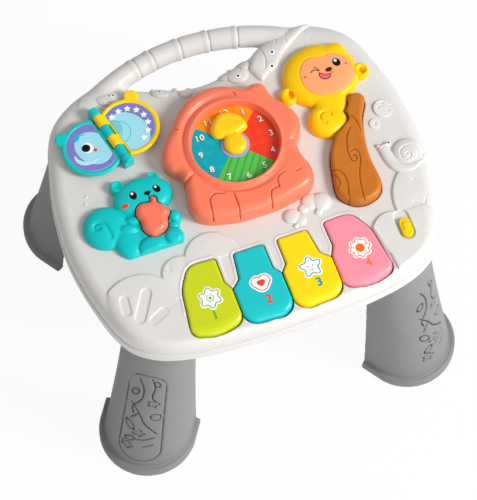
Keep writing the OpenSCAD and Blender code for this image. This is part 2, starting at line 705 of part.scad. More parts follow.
module clock_housing() color(CORAL) difference() {
    union() {
        on_deck() difference() {
            pillow(housing_line, 0, clock_h, 9, 8, 5);
            translate([0, 0, -1]) linear_extrude(dial_z - wall - dial_t + 1)
                polygon(inset(housing_line, wall + 1));
        }
        at_clock() {
            translate([0, 0, clock_h - 1]) rotate_extrude() translate([window_r + bezel_w / 2, 0])
                scale_ring(bezel_w / 2, 1 + bezel_w / 4);
            cylinder(r = shaft_r + 3, h = dial_z - 2 * dial_t);
        }
        on_deck() for (p = housing_posts)
            translate([p.x, p.y, 0]) cylinder(r = boss_r, h = dial_z - wall);
    }
    at_clock() {
        translate([0, 0, dial_z - dial_t]) cylinder(r = window_r, h = 40);
        translate([0, 0, -1]) cylinder(r = shaft_r + run_gap, h = 40);
    }
    on_deck() for (p = housing_posts)
        translate([p.x, p.y, -1]) cylinder(r = small_screw_r, h = 8);
}
// A rounded bead section for the ring round the window.
module scale_ring(r, rise) polygon(concat([[r, 0]], arc([0, rise - r], r, 0, 180, 8), [[-r, 0]]));

module dial_face() color([0.95, 0.55, 0.2]) at_clock() translate([0, 0, dial_z - dial_t])
    tube(window_r - 0.1, shaft_r + 0.4, dial_t);
ring_t = 0.8;
module hub_ring() color(LAVENDER) at_clock() translate([0, 0, dial_z])
    tube(hub_r + 2.6, shaft_r + 0.4, ring_t);

hand_z = dial_z + ring_t + 0.3;
cap_points = [[-17, 13], [-12, 9.5], [0, 8], [12, 9.5], [18.5, 13], [18.5, 20], [14, 29],
    [5, 35.5], [-5, 35], [-13, 28], [-18, 20]];
module clock_hand() color(YELLOW) difference() {
    at_clock() {
        translate([0, 0, hand_z]) rotate_extrude() polygon(concat([[0, 0], [hub_r, 0]],
            arc([hub_r - 3, hand_t - 3], 3, 0, 90, 4), [[0, hand_t]]));
        translate([0, 0, hand_z]) translate([-7, 4, 0]) cube([14, 12, hand_t - 1]);
        pillow(curve(cap_points, 3), hand_z, hand_z + hand_t + 0.6, 5, 4.5, 4);
        translate([0, 0, -0.3]) translate([0, 0, -rotor_drop + rotor_t]) cylinder(r = shaft_r,
            h = hand_z + rotor_drop - rotor_t + 1.3);
    }
    at_clock() translate([0, 0, -rotor_drop - 1]) cylinder(r = small_screw_r, h = rotor_drop + 6);
}
rotor_drop = 6;
rotor_t = 2.7;
module rotor_disc() color([0.2, 0.2, 0.22]) at_clock() translate([0, 0, -rotor_drop])
    difference() {
        union() {
            cylinder(r = rotor_r, h = rotor_t - 0.3);
            cylinder(r = shaft_r + 2.5, h = rotor_drop - 0.3);
        }
        translate([0, 0, rotor_t - 0.3]) cylinder(r = shaft_r, h = rotor_drop);
        translate([0, 0, -1]) cylinder(r = small_screw_r, h = rotor_drop);
    }
module screw(h, r, head_r, head_h) {
    translate([0, 0, -head_h]) cylinder(r = head_r, h = head_h);
    cylinder(r = r, h = h);
}
module rotor_screw() color("silver") at_clock() translate([0, 0, -rotor_drop])
    screw(9, small_screw_r, 2.6, 1.6);

// ---------- squirrel and acorn ----------
module squirrel() color(TEAL) on_deck() difference() {
    intersection() {
        union() {
            bead(-136, -40, 22, 22, squirrel_h - 2);
            bead(-122, -58, 18, 18, squirrel_h - 2.5);
            bead(-96, -50, 27, 25, squirrel_h - 3);
            bead(-93.5, -22, 29, 20.5, squirrel_h);
            bead(-113, -4.5, 7.5, 7, squirrel_h - 3);
            bead(-78.5, -6.5, 7, 6.5, squirrel_h - 3);
            bead(-76, -48, 9, 13, squirrel_h - 1.5, 10);
            bead(-112, -48, 12, 7, squirrel_h - 1.5, -15);
            bead(-103, -71, 13, 8, squirrel_h - 1);
            bead(-78, -70, 10, 8, squirrel_h - 1);
        }
        translate([-170, -77.5, 0]) cube([120, 100, squirrel_h + 5]);
    }
    translate([0, 0, -1]) linear_extrude(squirrel_h + 5) polygon(inset(acorn_line, -figure_gap));
}
module acorn_button() color(CORAL) on_deck() {
    pillow(acorn_line, acorn_base, acorn_top, 5, 5, 4);
    translate([acorn_x, acorn_y, dome_top]) cylinder(r = stem_r, h = acorn_base - dome_top + 1);
}
module acorn_dome() dome(acorn_x, acorn_y);
module left_board() board_with_holes(-123, -61, -62, -26, left_posts);
module board_with_holes(x0, x1, y0, y1, posts) difference() {
    board(x0, x1, y0, y1);
    on_deck() for (p = posts)
        translate([p.x, p.y, board_z - 1]) cylinder(r = small_screw_r, h = 4);
}

// ---------- monkey and tree ----------
face_t = 1.6;
module face_outline(gap) {
    translate([head_x + 0.5, head_y + 1.5]) circle(14.5 + gap);
    translate([head_x + 19, head_y + 1]) circle(14 + gap);
    translate([head_x + 9.5, head_y - 8]) circle(20.5 + gap);
}
module monkey() color(YELLOW) on_deck() difference() {
    union() {
        bead(head_x, head_y, 34.5, 33, monkey_h);
        bead(head_x + 22, head_y + 18, 14, 12, monkey_h - 1);
        bead(head_x - 35.5, head_y - 11, 9, 9, monkey_h - 4);
        bead(head_x + 38, head_y - 8, 9.5, 9.5, monkey_h - 4);
        bead(head_x - 35.5, head_y - 11, 6, 6, monkey_h - 3);
        bead(head_x + 38, head_y - 8, 6, 6, monkey_h - 3);
        bead(torso.x, torso.y, torso.z, torso.z, monkey_h - 3);
        bead(tail_curl.x, tail_curl.y, tail_curl.z, tail_curl.z, monkey_h - 2);
        bead(tail_curl.x - 2, tail_curl.y, 11, 11, monkey_h - 1);
    }
    translate([0, 0, monkey_h - face_t]) linear_extrude(10) face_outline(0.15);
    translate([0, 0, -1]) linear_extrude(monkey_h + 5) polygon(inset(housing_line, -rest_gap));
}
module monkey_face() color(PEACH) on_deck() translate([0, 0, monkey_h - face_t])
    linear_extrude(face_t + 0.8) face_outline(0);

module tree_trunk() color(BROWN) difference() {
    union() {
        on_deck() {
            difference() {
                pillow(trunk_line, -trunk_skirt, trunk_h, 5, 4.5, 4);
                translate([0, 0, -trunk_skirt - 1])
                    linear_extrude(trunk_h + trunk_skirt - wall - 1)
                    polygon(inset(trunk_line, wall + 0.5));
            }
            translate([trunk_press_x, trunk_press_y, dome_top])
                cylinder(r = stem_r, h = trunk_h - wall - dome_top);
        }
        at_trunk_pin() translate([-trunk_pin_drop - 4, -5, trunk_lug[0]])
            cube([trunk_pin_drop + 8, 10, trunk_lug[1] - trunk_lug[0]]);
    }
    at_trunk_pin() translate([0, 0, -trunk_pin_half - 1])
        cylinder(r = rod_r + run_gap, h = 2 * trunk_pin_half + 2);
    on_deck() {
        for (p = [torso, tail_curl])
            translate([p.x, p.y, -trunk_swing])
                cylinder(r = p.z + figure_gap + trunk_swing, h = 40);
    }
}
module trunk_pin() color("silver") at_trunk_pin() translate([0, 0, -trunk_pin_half])
    cylinder(r = rod_r, h = 2 * trunk_pin_half);
module trunk_dome() dome(trunk_press_x, trunk_press_y);
module right_board() board_with_holes(68, 134, -89, -61, right_posts);

// ---------- book ----------
page_len = hinge_len - 2 * post_len - 2 * knuckle_gap;
knuckle_len = (page_len - 3 * knuckle_gap) / 4;
function knuckle_from(i) = post_len + knuckle_gap + i * (knuckle_len + knuckle_gap);
module along(from, length, r) translate([from, 0, 0]) rotate([0, 90, 0]) cylinder(r = r, h = length);

module book_posts() color(TEAL) at_hinge() for (x = [0, hinge_len - post_len]) difference() {
    union() {
        along(x, post_len, knuckle_r + 0.5);
        translate([x, -knuckle_r - 0.5, -hinge_z]) cube([post_len, 2 * knuckle_r + 1, hinge_z]);
    }
    along(x - 1, post_len + 2, rod_r);
}
module book_pin() color("silver") at_hinge() along(0, hinge_len, rod_r);

// side is -1 for the left page and 1 for the right one; first is its first knuckle.
module page(side, first, ear_x, ear_y) at_hinge() difference() {
    union() {
        translate([0, 0, -page_top_drop - page_t]) linear_extrude(page_t) difference() {
            union() {
                translate([hinge_len / 2, side * page_middle]) circle(page_r);
                translate([ear_x, side * ear_y]) circle(7);
            }
            translate([-50, side > 0 ? page_start - 100 : -page_start]) square([200, 100]);
        }
        for (i = [first, first + 2]) {
            along(knuckle_from(i), knuckle_len, knuckle_r);
            translate([knuckle_from(i), side > 0 ? 0 : -page_start - 1, -page_top_drop - page_t])
                cube([knuckle_len, page_start + 1, page_t]);
        }
    }
    along(-1, hinge_len + 2, rod_r + run_gap);
    translate([0, 0, -page_top_drop - page_t - 1]) linear_extrude(page_t + 2)
        picture_shape(side, 0);
}
module picture_shape(side, gap) difference() {
    translate([hinge_len / 2, side * page_middle]) circle(page_r - page_frame - gap);
    translate([-50, side > 0 ? page_start + page_frame / 2 + gap - 100 : -page_start - page_frame / 2 - gap])
        square([200, 100]);
}
picture_inset = 0.4;
module picture(side) at_hinge() translate([0, 0, -page_top_drop - page_t + picture_inset])
    linear_extrude(page_t - 2 * picture_inset) picture_shape(side, 0);
module left_page() color(TEAL) page(-1, 1, 10, 43);
module right_page() color(YELLOW) page(1, 0, 7, 39);
module left_picture() color(PALE_BLUE) picture(-1);
module right_picture() color(PALE_BLUE) picture(1);

// ---------- keys ----------
module key_lime() color(LIME) key(0);
module key_teal() color(TEAL) key(1);
module key_yellow() color(YELLOW) key(2);
module key_pink() color(PINK) key(3);
module key_dome(k) dome(keys_x + key_arm_x[k], key_press_y);
module key_lime_dome() key_dome(0);
module key_teal_dome() key_dome(1);
module key_yellow_dome() key_dome(2);
module key_pink_dome() key_dome(3);
module circuit_board() board(keys_x - 78, keys_x + 78, -168, -118);

// ---------- slide switch ----------
switch_base = plateau_h + 0.3;
switch_body_t = 6;
module switch_knob() color(YELLOW) on_deck() translate([switch_x, switch_y, 0]) {
    translate([0, 0, switch_base]) linear_extrude(knob_rise - 1) stadium(knob_l, knob_w);
    translate([0, 0, switch_base + knob_rise - 1]) linear_extrude(1) stadium(knob_l - 2, knob_w - 2);
    translate([0, 0, switch_base + knob_rise]) linear_extrude(1.2) stadium(knob_l * 0.5, knob_w * 0.55);
    translate([0, 0, -wall - 3]) linear_extrude(wall + 3 + switch_base + 0.5)
        stadium(slot_l - knob_travel - 1.2, slot_w - 0.8);
}
module slide_switch() color([0.25, 0.26, 0.28]) on_deck() difference() {
    translate([switch_x - 6, switch_y + knob_travel / 2 - slot_l / 2 - 3, -wall - switch_body_t])
        cube([12, slot_l + 6, switch_body_t]);
    translate([switch_x, switch_y + knob_travel / 2, -wall - switch_body_t + 1.5])
        linear_extrude(10) stadium(slot_l, slot_w);
}

// ---------- sound and power ----------
module speaker() color([0.25, 0.26, 0.28]) on_deck()
    translate([speaker_at.x, speaker_at.y, -body_t + wall]) rotate_extrude() polygon([[0, 2.4],
        [8, 1], [17, 1], [17, 0], [speaker_r, 0], [speaker_r, 2.5], [11, 7], [11, 12], [0, 12]]);

module battery_door() color(WHITE) on_deck() difference() {
    translate([box_x[0] - door_ledge + door_play, box_y[0] - door_ledge + door_play, -body_t])
        cube([box_x[1] - box_x[0] + 2 * (door_ledge - door_play),
            box_y[1] - box_y[0] + 2 * (door_ledge - door_play), wall]);
    translate([door_screw_at.x, door_screw_at.y, -body_t - 1]) cylinder(r = screw_r, h = 9);
}
cell_r = 7.1;
cell_l = 49;
cell_y = [for (i = [-1 : 1]) -19 + i * 14.8];
cell_z = -body_t + wall + cell_r;
module batteries() color([0.2, 0.45, 0.3]) on_deck() for (y = cell_y) {
    translate([-cell_l / 2, y, cell_z]) rotate([0, 90, 0]) cylinder(r = cell_r, h = cell_l);
    translate([cell_l / 2, y, cell_z]) rotate([0, 90, 0]) cylinder(r = 2.7, h = 1.2);
}
contact_t = 0.6;
module battery_contacts() color("silver") on_deck() for (y = cell_y) {
    translate([cell_l / 2 + 1.2, y - 5, cell_z - 5]) cube([box_x[1] - cell_l / 2 - 1.2, 10, 10]);
    translate([box_x[0], y, cell_z]) rotate([0, 90, 0])
        cylinder(r1 = 5.5, r2 = 3, h = -cell_l / 2 - box_x[0]);
}
module door_screw() color("silver") on_deck()
    translate([door_screw_at.x, door_screw_at.y, -body_t]) screw(7, screw_r, 3, 1);

// ---------- screws ----------
module shell_screws() color("silver") on_deck() for (p = boss_places)
    translate([p.x, p.y, -body_t + 6]) screw(boss_end + 9 + body_t - 6, screw_r, 3, 2);
module housing_screws() color("silver") on_deck() for (p = housing_posts)
    translate([p.x, p.y, -wall]) screw(wall + 6, small_screw_r, 2.6, 1.6);
module board_screws() color("silver") on_deck() for (p = concat(left_posts, right_posts))
    translate([p.x, p.y, board_z]) screw(8, small_screw_r, 2.6, 1.6);

top_shell();
bottom_shell();
leg_front_left();
leg_front_right();
leg_back_left();
leg_back_right();
clock_housing();
dial_face();
hub_ring();
clock_hand();
rotor_disc();
rotor_screw();
squirrel();
acorn_button();
acorn_dome();
left_board();
monkey();
monkey_face();
tree_trunk();
trunk_pin();
trunk_dome();
right_board();
book_posts();
book_pin();
left_page();
left_picture();
right_page();
right_picture();
key_lime();
key_teal();
key_yellow();
key_pink();
key_rod();
key_lime_dome();
key_teal_dome();
key_yellow_dome();
key_pink_dome();
circuit_board();
switch_knob();
slide_switch();
speaker();
battery_door();
batteries();
battery_contacts();
door_screw();
shell_screws();
housing_screws();
board_screws();
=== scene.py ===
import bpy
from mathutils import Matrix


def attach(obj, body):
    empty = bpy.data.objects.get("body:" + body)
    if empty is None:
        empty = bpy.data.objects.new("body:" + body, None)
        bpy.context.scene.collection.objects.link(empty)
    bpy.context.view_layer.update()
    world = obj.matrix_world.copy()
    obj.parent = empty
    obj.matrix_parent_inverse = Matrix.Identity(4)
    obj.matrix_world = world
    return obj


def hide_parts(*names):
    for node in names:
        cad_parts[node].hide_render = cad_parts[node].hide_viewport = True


bl_info = {
    "name": "Musical activity table",
    "version": (1, 0, 0),
    "blender": (4, 5, 0),
    "location": "3D View > Sidebar > Table",
    "description": "Finished shells, figures, keys and prints for the activity table",
    "category": "Object",
}

import math

import bmesh
import bpy
import numpy as np
from mathutils import Euler, Vector

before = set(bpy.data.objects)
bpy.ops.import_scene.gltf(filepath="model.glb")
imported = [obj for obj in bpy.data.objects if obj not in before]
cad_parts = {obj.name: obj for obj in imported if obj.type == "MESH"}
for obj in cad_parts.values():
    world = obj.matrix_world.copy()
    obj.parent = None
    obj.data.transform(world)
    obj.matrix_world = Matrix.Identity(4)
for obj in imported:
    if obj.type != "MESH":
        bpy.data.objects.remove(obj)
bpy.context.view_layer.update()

# Sizes are in millimetres. Most pieces are drawn on the deck, where Z = 0 is its flat top, and the
# legs on the ground.
MM = 0.001
DECK = np.array([0.0, 23.5, 261.5])
GROUND = np.array([0.0, 23.5, 0.0])
COARSE = 1.0

UPPER_H, WALL = 20.0, 2.5
EDGE_W, EDGE_DROP, RIM_STEP = 14.0, 11.0, 1.0
FRONT_SHARE = 0.57
HANDLE_X, HANDLE_CROWN, HANDLE_ARCH, HANDLE_R = -2.0, 121.4, 200.0, 10.9
HANDLE_DROP = UPPER_H - HANDLE_R - 0.3
COLLARS = (-15.0, -9.8, -1.4, 6.9, 15.0)
CLOCK = (4.9, -4.4)
CLOCK_TOP, WINDOW_R, DIAL_Z = 21.0, 41.0, 13.0
KEYS_X, KEY_TOP, KEY_FRONT, KEY_GAP = 2.4, 2.2, 179.3, 0.8
KEY_SKIRT, FRONT_ROUND, FRONT_ZONE, KEY_EDGE = 9.0, 10.0, 26.0, 2.6
SQUIRREL_TOP, MONKEY_TOP, TRUNK_TOP = 12.0, 12.0, 11.0
ACORN_BASE, ACORN_TOP = 3.4, 14.5
FIGURE_GAP = 0.7
# How deep prints, the lines of painted shade in grooves and relief are rooted in the surface below them.
PRINT_ROOT, LINE_ROOT, RELIEF_ROOT, NUMBER_ROOT = 0.7, 0.9, 1.4, 0.5
HEAD = (105.0, 43.0)
HINGE, HINGE_TURN, HINGE_LEN = (-109.0, 78.0, 9.0), math.radians(-76.4), 66.0
POST_LEN, KNUCKLE_R, KNUCKLE_GAP = 8.0, 4.5, 0.3
PAGE_MIDDLE, PAGE_R, PAGE_T, PAGE_FRAME, PAGE_START, PAGE_DROP = 20.0, 29.5, 4.0, 4.5, 5.5, 0.3
PRINT_Z = -PAGE_DROP - 0.4
LEG_H, LEG_R_TOP, LEG_R_LOW, LEG_WALL = 225.5, 34.0, 44.5, 3.0
SIDE_LOW, SIDE_TOP = 21.0, 7.0
FOOT_R, FOOT_RIM_H = 48.5, 11.0
# Each leg: its foot's middle, its top's middle and the way it faces in degrees.
LEGS = {
    "leg_front_left": (-138, -143, -116, -133, 236),
    "leg_front_right": (138, -143, 116, -133, 304),
    "leg_back_left": (-138, 96, -116, 70, 124),
    "leg_back_right": (138, 96, 116, 70, 56),
}

BODY_HALF = [(0, -184), (60, -182.5), (110, -175.5), (141, -162), (159, -140), (170.5, -102),
             (177, -64), (178, -34), (174, 8), (166, 42), (156, 72), (140, 91), (116, 104),
             (96, 104), (66, 95), (32, 82), (0, 77)]
HOUSING = [(-49, -67), (-21, -75.5), (4, -77), (30, -75.5), (57.5, -68), (63.5, -52), (59, -33),
           (60.5, -20.5), (68, -9.5), (70, 5), (63, 20), (54.5, 31), (51.5, 45.5), (42, 50),
           (32, 48.5), (15, 57), (-3, 59.5), (-22, 54), (-37.5, 42), (-48, 29), (-59, 17),
           (-65.5, 2), (-62, -9.5), (-54.5, -17.5), (-54.5, -32), (-57.5, -52)]
ACORN = [(-90, -31.3), (-98.5, -30.3), (-103.2, -32.7), (-105.8, -37.5), (-106, -43.2),
         (-104.4, -48.8), (-105, -55.5), (-102.6, -61.5), (-97.8, -66.3), (-92, -65.6),
         (-85.6, -63.3), (-81.2, -58.5), (-79.4, -52), (-75.8, -48.3), (-75.6, -43.6),
         (-78.8, -38.2), (-83.2, -34), (-82.6, -29.8), (-85.4, -26.8), (-88.9, -27.6)]
TRUNK = [(78, -82.5), (88, -95.5), (101, -99), (115, -94.5), (121, -83), (120, -60),
         (122.5, -36), (129, -14), (137.5, 2), (133.5, 10), (124, 9), (111, -10), (98, -24),
         (86.5, -42), (81, -62)]
HAND_CAP = [(-17, 13), (-12, 9.5), (0, 8), (11, 9.5), (16.8, 13), (17, 19.5), (13, 27.5),
            (4.5, 33.5), (-5, 34), (-13, 28), (-18, 20)]
OUTER_KEY = [(-99.8, -170.5, 9), (-73, -177.7, 50), (-49.4, -171.3, 11), (-49.2, -137, 3.2),
             (-54, -128, 5), (-53.6, -102.5, 3), (-80, -101.5, 14), (-93, -122, 40)]
INNER_KEY = [(-48.4, -176.8, 13), (-0.6, -179.1, 13), (-0.6, -137.5, 3.2), (-6.6, -130, 5),
             (-6.8, -104, 3), (-36, -104, 3), (-39.4, -130, 5), (-48.4, -138, 3.2)]
FACE = [(88.9, 47.5), (95.6, 56.6), (103.2, 59.2), (109.5, 57.6), (115.8, 56.2), (122.5, 57.4),
        (129.8, 55.2), (136.3, 49.0), (139.4, 39.5), (137, 27.2), (126.5, 19.4), (113, 16.4),
        (100.4, 18.5), (91.6, 24.8), (87.8, 35.5)]


# ---------- outlines ----------
def spline(a, b, c, d, t):
    """A point on the smooth curve from b to c, with a and d before and after them."""
    return 0.5 * (2 * b + (c - a) * t + (2 * a - 5 * b + 4 * c - d) * t * t
                  + (3 * b - a - 3 * c + d) * t ** 3)


def closed_curve(points, steps=8):
    """A smooth closed line through the points."""
    p = np.array(points, float)
    t = (np.arange(steps) / steps)[None, :, None]
    return spline(*(np.roll(p, k, 0)[:, None, :] for k in (1, 0, -1, -2)), t).reshape(-1, 2)


def smooth_line(points, steps=6):
    """An open smooth line through the points."""
    p = np.array(points, float)
    p = np.vstack([2 * p[0] - p[1], p, 2 * p[-1] - p[-2]])
    t = (np.arange(steps) / steps)[None, :, None]
    line = spline(*(q[:, None, :] for q in (p[:-3], p[1:-2], p[2:-1], p[3:])), t)
    return np.vstack([line.reshape(-1, 2), p[-2]])


def drawn(line):
    """The points of a line: a smooth curve, or straight if it has only two points."""
    return smooth_line(line) if len(line) > 2 else np.array(line, float)


def round_corners(corners, steps=8):
    """A closed outline with the radius of each corner (x, y, radius)."""
    out = []
    for i, (x, y, r) in enumerate(corners):
        c = np.array((x, y))
        a = np.array(corners[i - 1][:2]) - c
        b = np.array(corners[(i + 1) % len(corners)][:2]) - c
        a, b = a / np.hypot(*a), b / np.hypot(*b)
        half = math.acos(np.dot(a, b)) / 2
        m = c + (a + b) / np.hypot(*(a + b)) * r / math.sin(half)
        s, e = c + a * r / math.tan(half), c + b * r / math.tan(half)
        for j in range(steps + 1):
            u = (s - m) * (steps - j) + (e - m) * j
            out.append(m + u / np.hypot(*u) * r)
    return np.array(out)


def key_outline(k):
    corners = OUTER_KEY if k in (0, 3) else INNER_KEY
    if k > 1:
        corners = [(-x, y, r) for x, y, r in reversed(corners)]
    return round_corners(corners) + (KEYS_X, 0)


BODY = closed_curve(BODY_HALF + [(-x, y) for x, y in BODY_HALF[-2:0:-1]], 6)
HOUSING_EDGE, ACORN_EDGE = closed_curve(HOUSING, 6), closed_curve(ACORN, 6)
KEYS = [key_outline(k) for k in range(4)]
KEY_NAMES = ("lime", "teal", "yellow", "pink")


# ---------- forms: values are below zero inside ----------
def to_edge(a, b, x, y):
    """Square of the distance from a straight edge."""
    ex, ey, wx, wy = b[0] - a[0], b[1] - a[1], x - a[0], y - a[1]
    t = np.clip((wx * ex + wy * ey) / (ex * ex + ey * ey + 1e-9), 0, 1)
    return (wx - ex * t) ** 2 + (wy - ey * t) ** 2


def to_outline(points, x, y):
    """Distance from an outline in millimetres, below zero inside it."""
    x, y = np.broadcast_arrays(np.asarray(x, np.float32), np.asarray(y, np.float32))
    best = np.full(x.shape, 1e9, np.float32)
    inside = np.zeros(x.shape, bool)
    for a, b in zip(points, np.roll(points, -1, 0)):
        best = np.minimum(best, to_edge(a, b, x, y))
        beside = ((b[0] - a[0]) * (y - a[1]) > (b[1] - a[1]) * (x - a[0])) == (b[1] > a[1])
        inside ^= ((a[1] <= y) != (b[1] <= y)) & beside
    return np.where(inside, -1, 1) * np.sqrt(best)


def to_line(points, x, y):
    """Distance from an open line in millimetres."""
    best = 1e9
    for a, b in zip(points[:-1], points[1:]):
        best = np.minimum(best, to_edge(a, b, x, y))
    return np.sqrt(best)


def join(a, b, k):
    """Two forms as one, with a fillet about k wide between them."""
    h = np.clip(0.5 + 0.5 * (b - a) / k, 0, 1)
    return b + (a - b) * h - k * h * (1 - h)


def cut(a, b, k=0.0):
    """Form a without form b, the new edge rounded by about k."""
    return np.maximum(a, -b) if k == 0 else -join(-a, b, k)


def step(value, width):
    """Rises smoothly from 0 to 1 while value goes from -width/2 to width/2."""
    t = np.clip(value / width + 0.5, 0, 1)
    return t * t * (3 - 2 * t)


def pillow(d, z, top, w, h):
    """A form with the outline distance d and an upper edge rounded w wide and h high."""
    u = np.maximum(d + w, 0) / w
    v = np.maximum(z - top + h, 0) / h
    size = (u * w + v * h) / (u + v + 1e-6)
    edge = (np.sqrt(u * u + v * v) - 1) * size
    return np.where((u > 0) & (v > 0), edge, np.maximum(d, z - top))


def oval_share(x, y, place, radii, turn):
    """How far out a point lies in an oval: 0 in its middle and 1 on its outline."""
    c, s = math.cos(math.radians(turn)), math.sin(math.radians(turn))
    dx, dy = x - place[0], y - place[1]
    return np.sqrt(((dx * c + dy * s) / radii[0]) ** 2 + ((-dx * s + dy * c) / radii[1]) ** 2)


def lobe(x, y, z, place, radii, top, turn=0.0, power=2.5, plan=None):
    """A rounded lump with upright sides at its foot; a higher plan power gives a flatter top."""
    u, v = oval_share(x, y, place, radii, turn), np.maximum(z, 0) / top
    return ((u ** (plan or power) + v ** power) ** (1 / power) - 1) * min(*radii, top)


def ball(x, y, z, place, radii):
    """An egg-shaped form, used for hollows."""
    u = [((a - p) / r) ** 2 for a, p, r in zip((x, y, z), place, radii)]
    return (np.sqrt(sum(u)) - 1) * min(radii)


def puff(x, y, place, radii, height, turn=0.0, power=2.0):
    """Height of a low rounded lump on the deck."""
    return height * np.maximum(1 - oval_share(x, y, place, radii, turn) ** power, 0) ** 0.5


def bar(x, y, a, b, r):
    """Distance from a bar with round ends."""
    return to_line(np.array((a, b), float), x, y) - r


def oval(x, y, place, radii, turn=0.0):
    """Distance from an oval, nearly true beside its outline."""
    return (oval_share(x, y, place, radii, turn) - 1) * min(radii)


def overlap(*forms):
    """The form that lies in all of the forms."""
    out = forms[0]
    for form in forms[1:]:
        out = np.maximum(out, form)
    return out


# ---------- from forms to meshes ----------
def grid(x0, x1, y0, y1, z0, z1, steps):
    """The three axes of a grid of points."""
    if np.isscalar(steps):
        steps = (steps,) * 3
    spans = ((x0, x1), (y0, y1), (z0, z1))
    axes = [np.arange(a, b + s * COARSE, s * COARSE, dtype=np.float32)
            for (a, b), s in zip(spans, steps)]
    return axes[0][:, None, None], axes[1][None, :, None], axes[2][None, None, :]


def skin(x, y, z, values):
    """Points and quads of a closed mesh round the part of the grid below zero."""
    inside = values < 0
    n = np.array(values.shape) - 1
    corners = [(i, j, k) for i in (0, 1) for j in (0, 1) for k in (0, 1)]
    total = sum(inside[i:n[0] + i, j:n[1] + j, k:n[2] + k].astype(np.int8) for i, j, k in corners)
    cells = np.argwhere((total > 0) & (total < 8))
    index = np.full(n, -1, np.int32)
    index[tuple(cells.T)] = np.arange(len(cells))
    place, hits = np.zeros((len(cells), 3)), np.zeros(len(cells))
    for a in corners:
        for axis in range(3):
            if a[axis]:
                continue
            b = list(a)
            b[axis] = 1
            va, vb = values[tuple((cells + a).T)], values[tuple((cells + b).T)]
            crosses = (va < 0) != (vb < 0)
            point = np.tile(np.array(a, float), (len(cells), 1))
            point[:, axis] = va / np.where(crosses, va - vb, 1)
            place += np.where(crosses[:, None], point, 0)
            hits += crosses
    at = cells + place / hits[:, None]
    axes = [x.ravel(), y.ravel(), z.ravel()]
    points = np.stack([a[0] + (a[1] - a[0]) * at[:, i] for i, a in enumerate(axes)], 1)
    quads = []
    for axis in range(3):
        u, v = (axis + 1) % 3, (axis + 2) % 3
        low, high = [slice(None)] * 3, [slice(None)] * 3
        low[axis], high[axis] = slice(0, -1), slice(1, None)
        at = np.argwhere(inside[tuple(low)] != inside[tuple(high)])
        at = at[(at[:, u] > 0) & (at[:, v] > 0) & (at[:, u] < n[u]) & (at[:, v] < n[v])]

        def cell(du, dv):
            c = at.copy()
            c[:, u] -= du
            c[:, v] -= dv
            return index[tuple(c.T)]

        quad = np.stack([cell(1, 1), cell(0, 1), cell(0, 0), cell(1, 0)], 1)
        out = inside[tuple(at.T)]
        quad[~out] = quad[~out][:, ::-1]
        quads.append(quad)
    return points, np.concatenate(quads)


def placed(name, data):
    """A new object in the scene."""
    obj = bpy.data.objects.new(name, data)
    bpy.context.scene.collection.objects.link(obj)
    return obj


def new_piece(name, points, faces, material, origin=DECK, smooth=True):
    """A mesh object at the origin, its points given in millimetres."""
    mesh = bpy.data.meshes.new(name)
    mesh.from_pydata(((np.asarray(points) + origin) * MM).tolist(), [],
                     faces.tolist() if hasattr(faces, "tolist") else faces)
    mesh.polygons.foreach_set("use_smooth", [smooth] * len(mesh.polygons))
    mesh.materials.append(material)
    mesh.update()
    return placed(name, mesh)


def applied(obj):
    """The object with its modifiers made real."""
    graph = bpy.context.evaluated_depsgraph_get()
    mesh = bpy.data.meshes.new_from_object(obj.evaluated_get(graph))
    old = obj.data
    obj.modifiers.clear()
    obj.data = mesh
    mesh.name = old.name
    bpy.data.meshes.remove(old)
    return obj


def fewer(obj, triangles):
    """Thins a mesh where it is flat, down to about that many triangles."""
    count = sum(len(p.vertices) - 2 for p in obj.data.polygons)
    if count > triangles:
        thin = obj.modifiers.new("thin", "DECIMATE")
        thin.ratio = triangles / count
        applied(obj)
        obj.data.polygons.foreach_set("use_smooth", [True] * len(obj.data.polygons))
    return obj


def fit(obj, body, slot, *nodes):
    """Lets a piece ride on its body and stand for its CAD nodes."""
    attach(obj, body)
    if nodes:
        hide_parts(*nodes)
    return obj


def cast(name, axes, values, key, triangles, body, slot, *nodes, place=None, origin=DECK):
    """A piece skinned from a form and put in its place, with its finish, body and CAD nodes; its slot is
    not used.
    """
    points, quads = skin(*axes, values.astype(np.float32))
    if place:
        points = place(points)
    obj = new_piece(name, points, quads, finish(key), origin)
    return fit(fewer(obj, triangles), body, slot, *nodes)


def inlay(name, form, mark, box, key, body, lift=0.2, fine=0.3):
    """A thin printed spot that follows the surface of a form."""
    x, y, z = axes = grid(*box, fine)
    under = form(x, y, z)
    values = overlap(mark(x, y), under - lift, -(under + PRINT_ROOT))
    return cast(name, axes, values, key, 6000, body, "printed_film")


def trace(name, form, lines, heights, key, body, slot, width, lift):
    """Painted shade: thin dark lines laid into the bottoms of a form's grooves, where shade falls, all in
    one piece.
    """
    points, quads = [], []
    for path in map(drawn, lines):
        (x0, y0), (x1, y1) = path.min(0) - 1.5, path.max(0) + 1.5
        x, y, z = axes = grid(x0, x1, y0, y1, *heights, (0.26, 0.26, 0.4))
        under = form(x, y, z)
        d = np.broadcast_to(to_line(path, x, y) - width, under.shape)
        band = overlap(d, under - lift, -(under + LINE_ROOT))
        found, faces = skin(*axes, band.astype(np.float32))
        quads.append(faces + sum(len(p) for p in points))
        points.append(found)
    obj = new_piece(name, np.concatenate(points), np.concatenate(quads), finish(key))
    return fit(fewer(obj, 16000), body, slot)


# ---------- finishes ----------
def linear(colour):
    """A screen colour as the renderer counts it."""
    return tuple(c / 12.92 if c <= 0.04045 else ((c + 0.055) / 1.055) ** 2.4 for c in colour)


def node(tree, kind, inputs=(), **settings):
    """A new node; each input, by name or number, takes a value or another node's output."""
    made = tree.nodes.new(kind)
    for key, value in settings.items():
        setattr(made, key, value)
    wire(tree, made, inputs)
    return made


def wire(tree, made, inputs):
    """Gives a node's inputs their values and links."""
    for key, value in dict(inputs).items():
        if isinstance(value, bpy.types.NodeSocket):
            tree.links.new(value, made.inputs[key])
        else:
            made.inputs[key].default_value = value


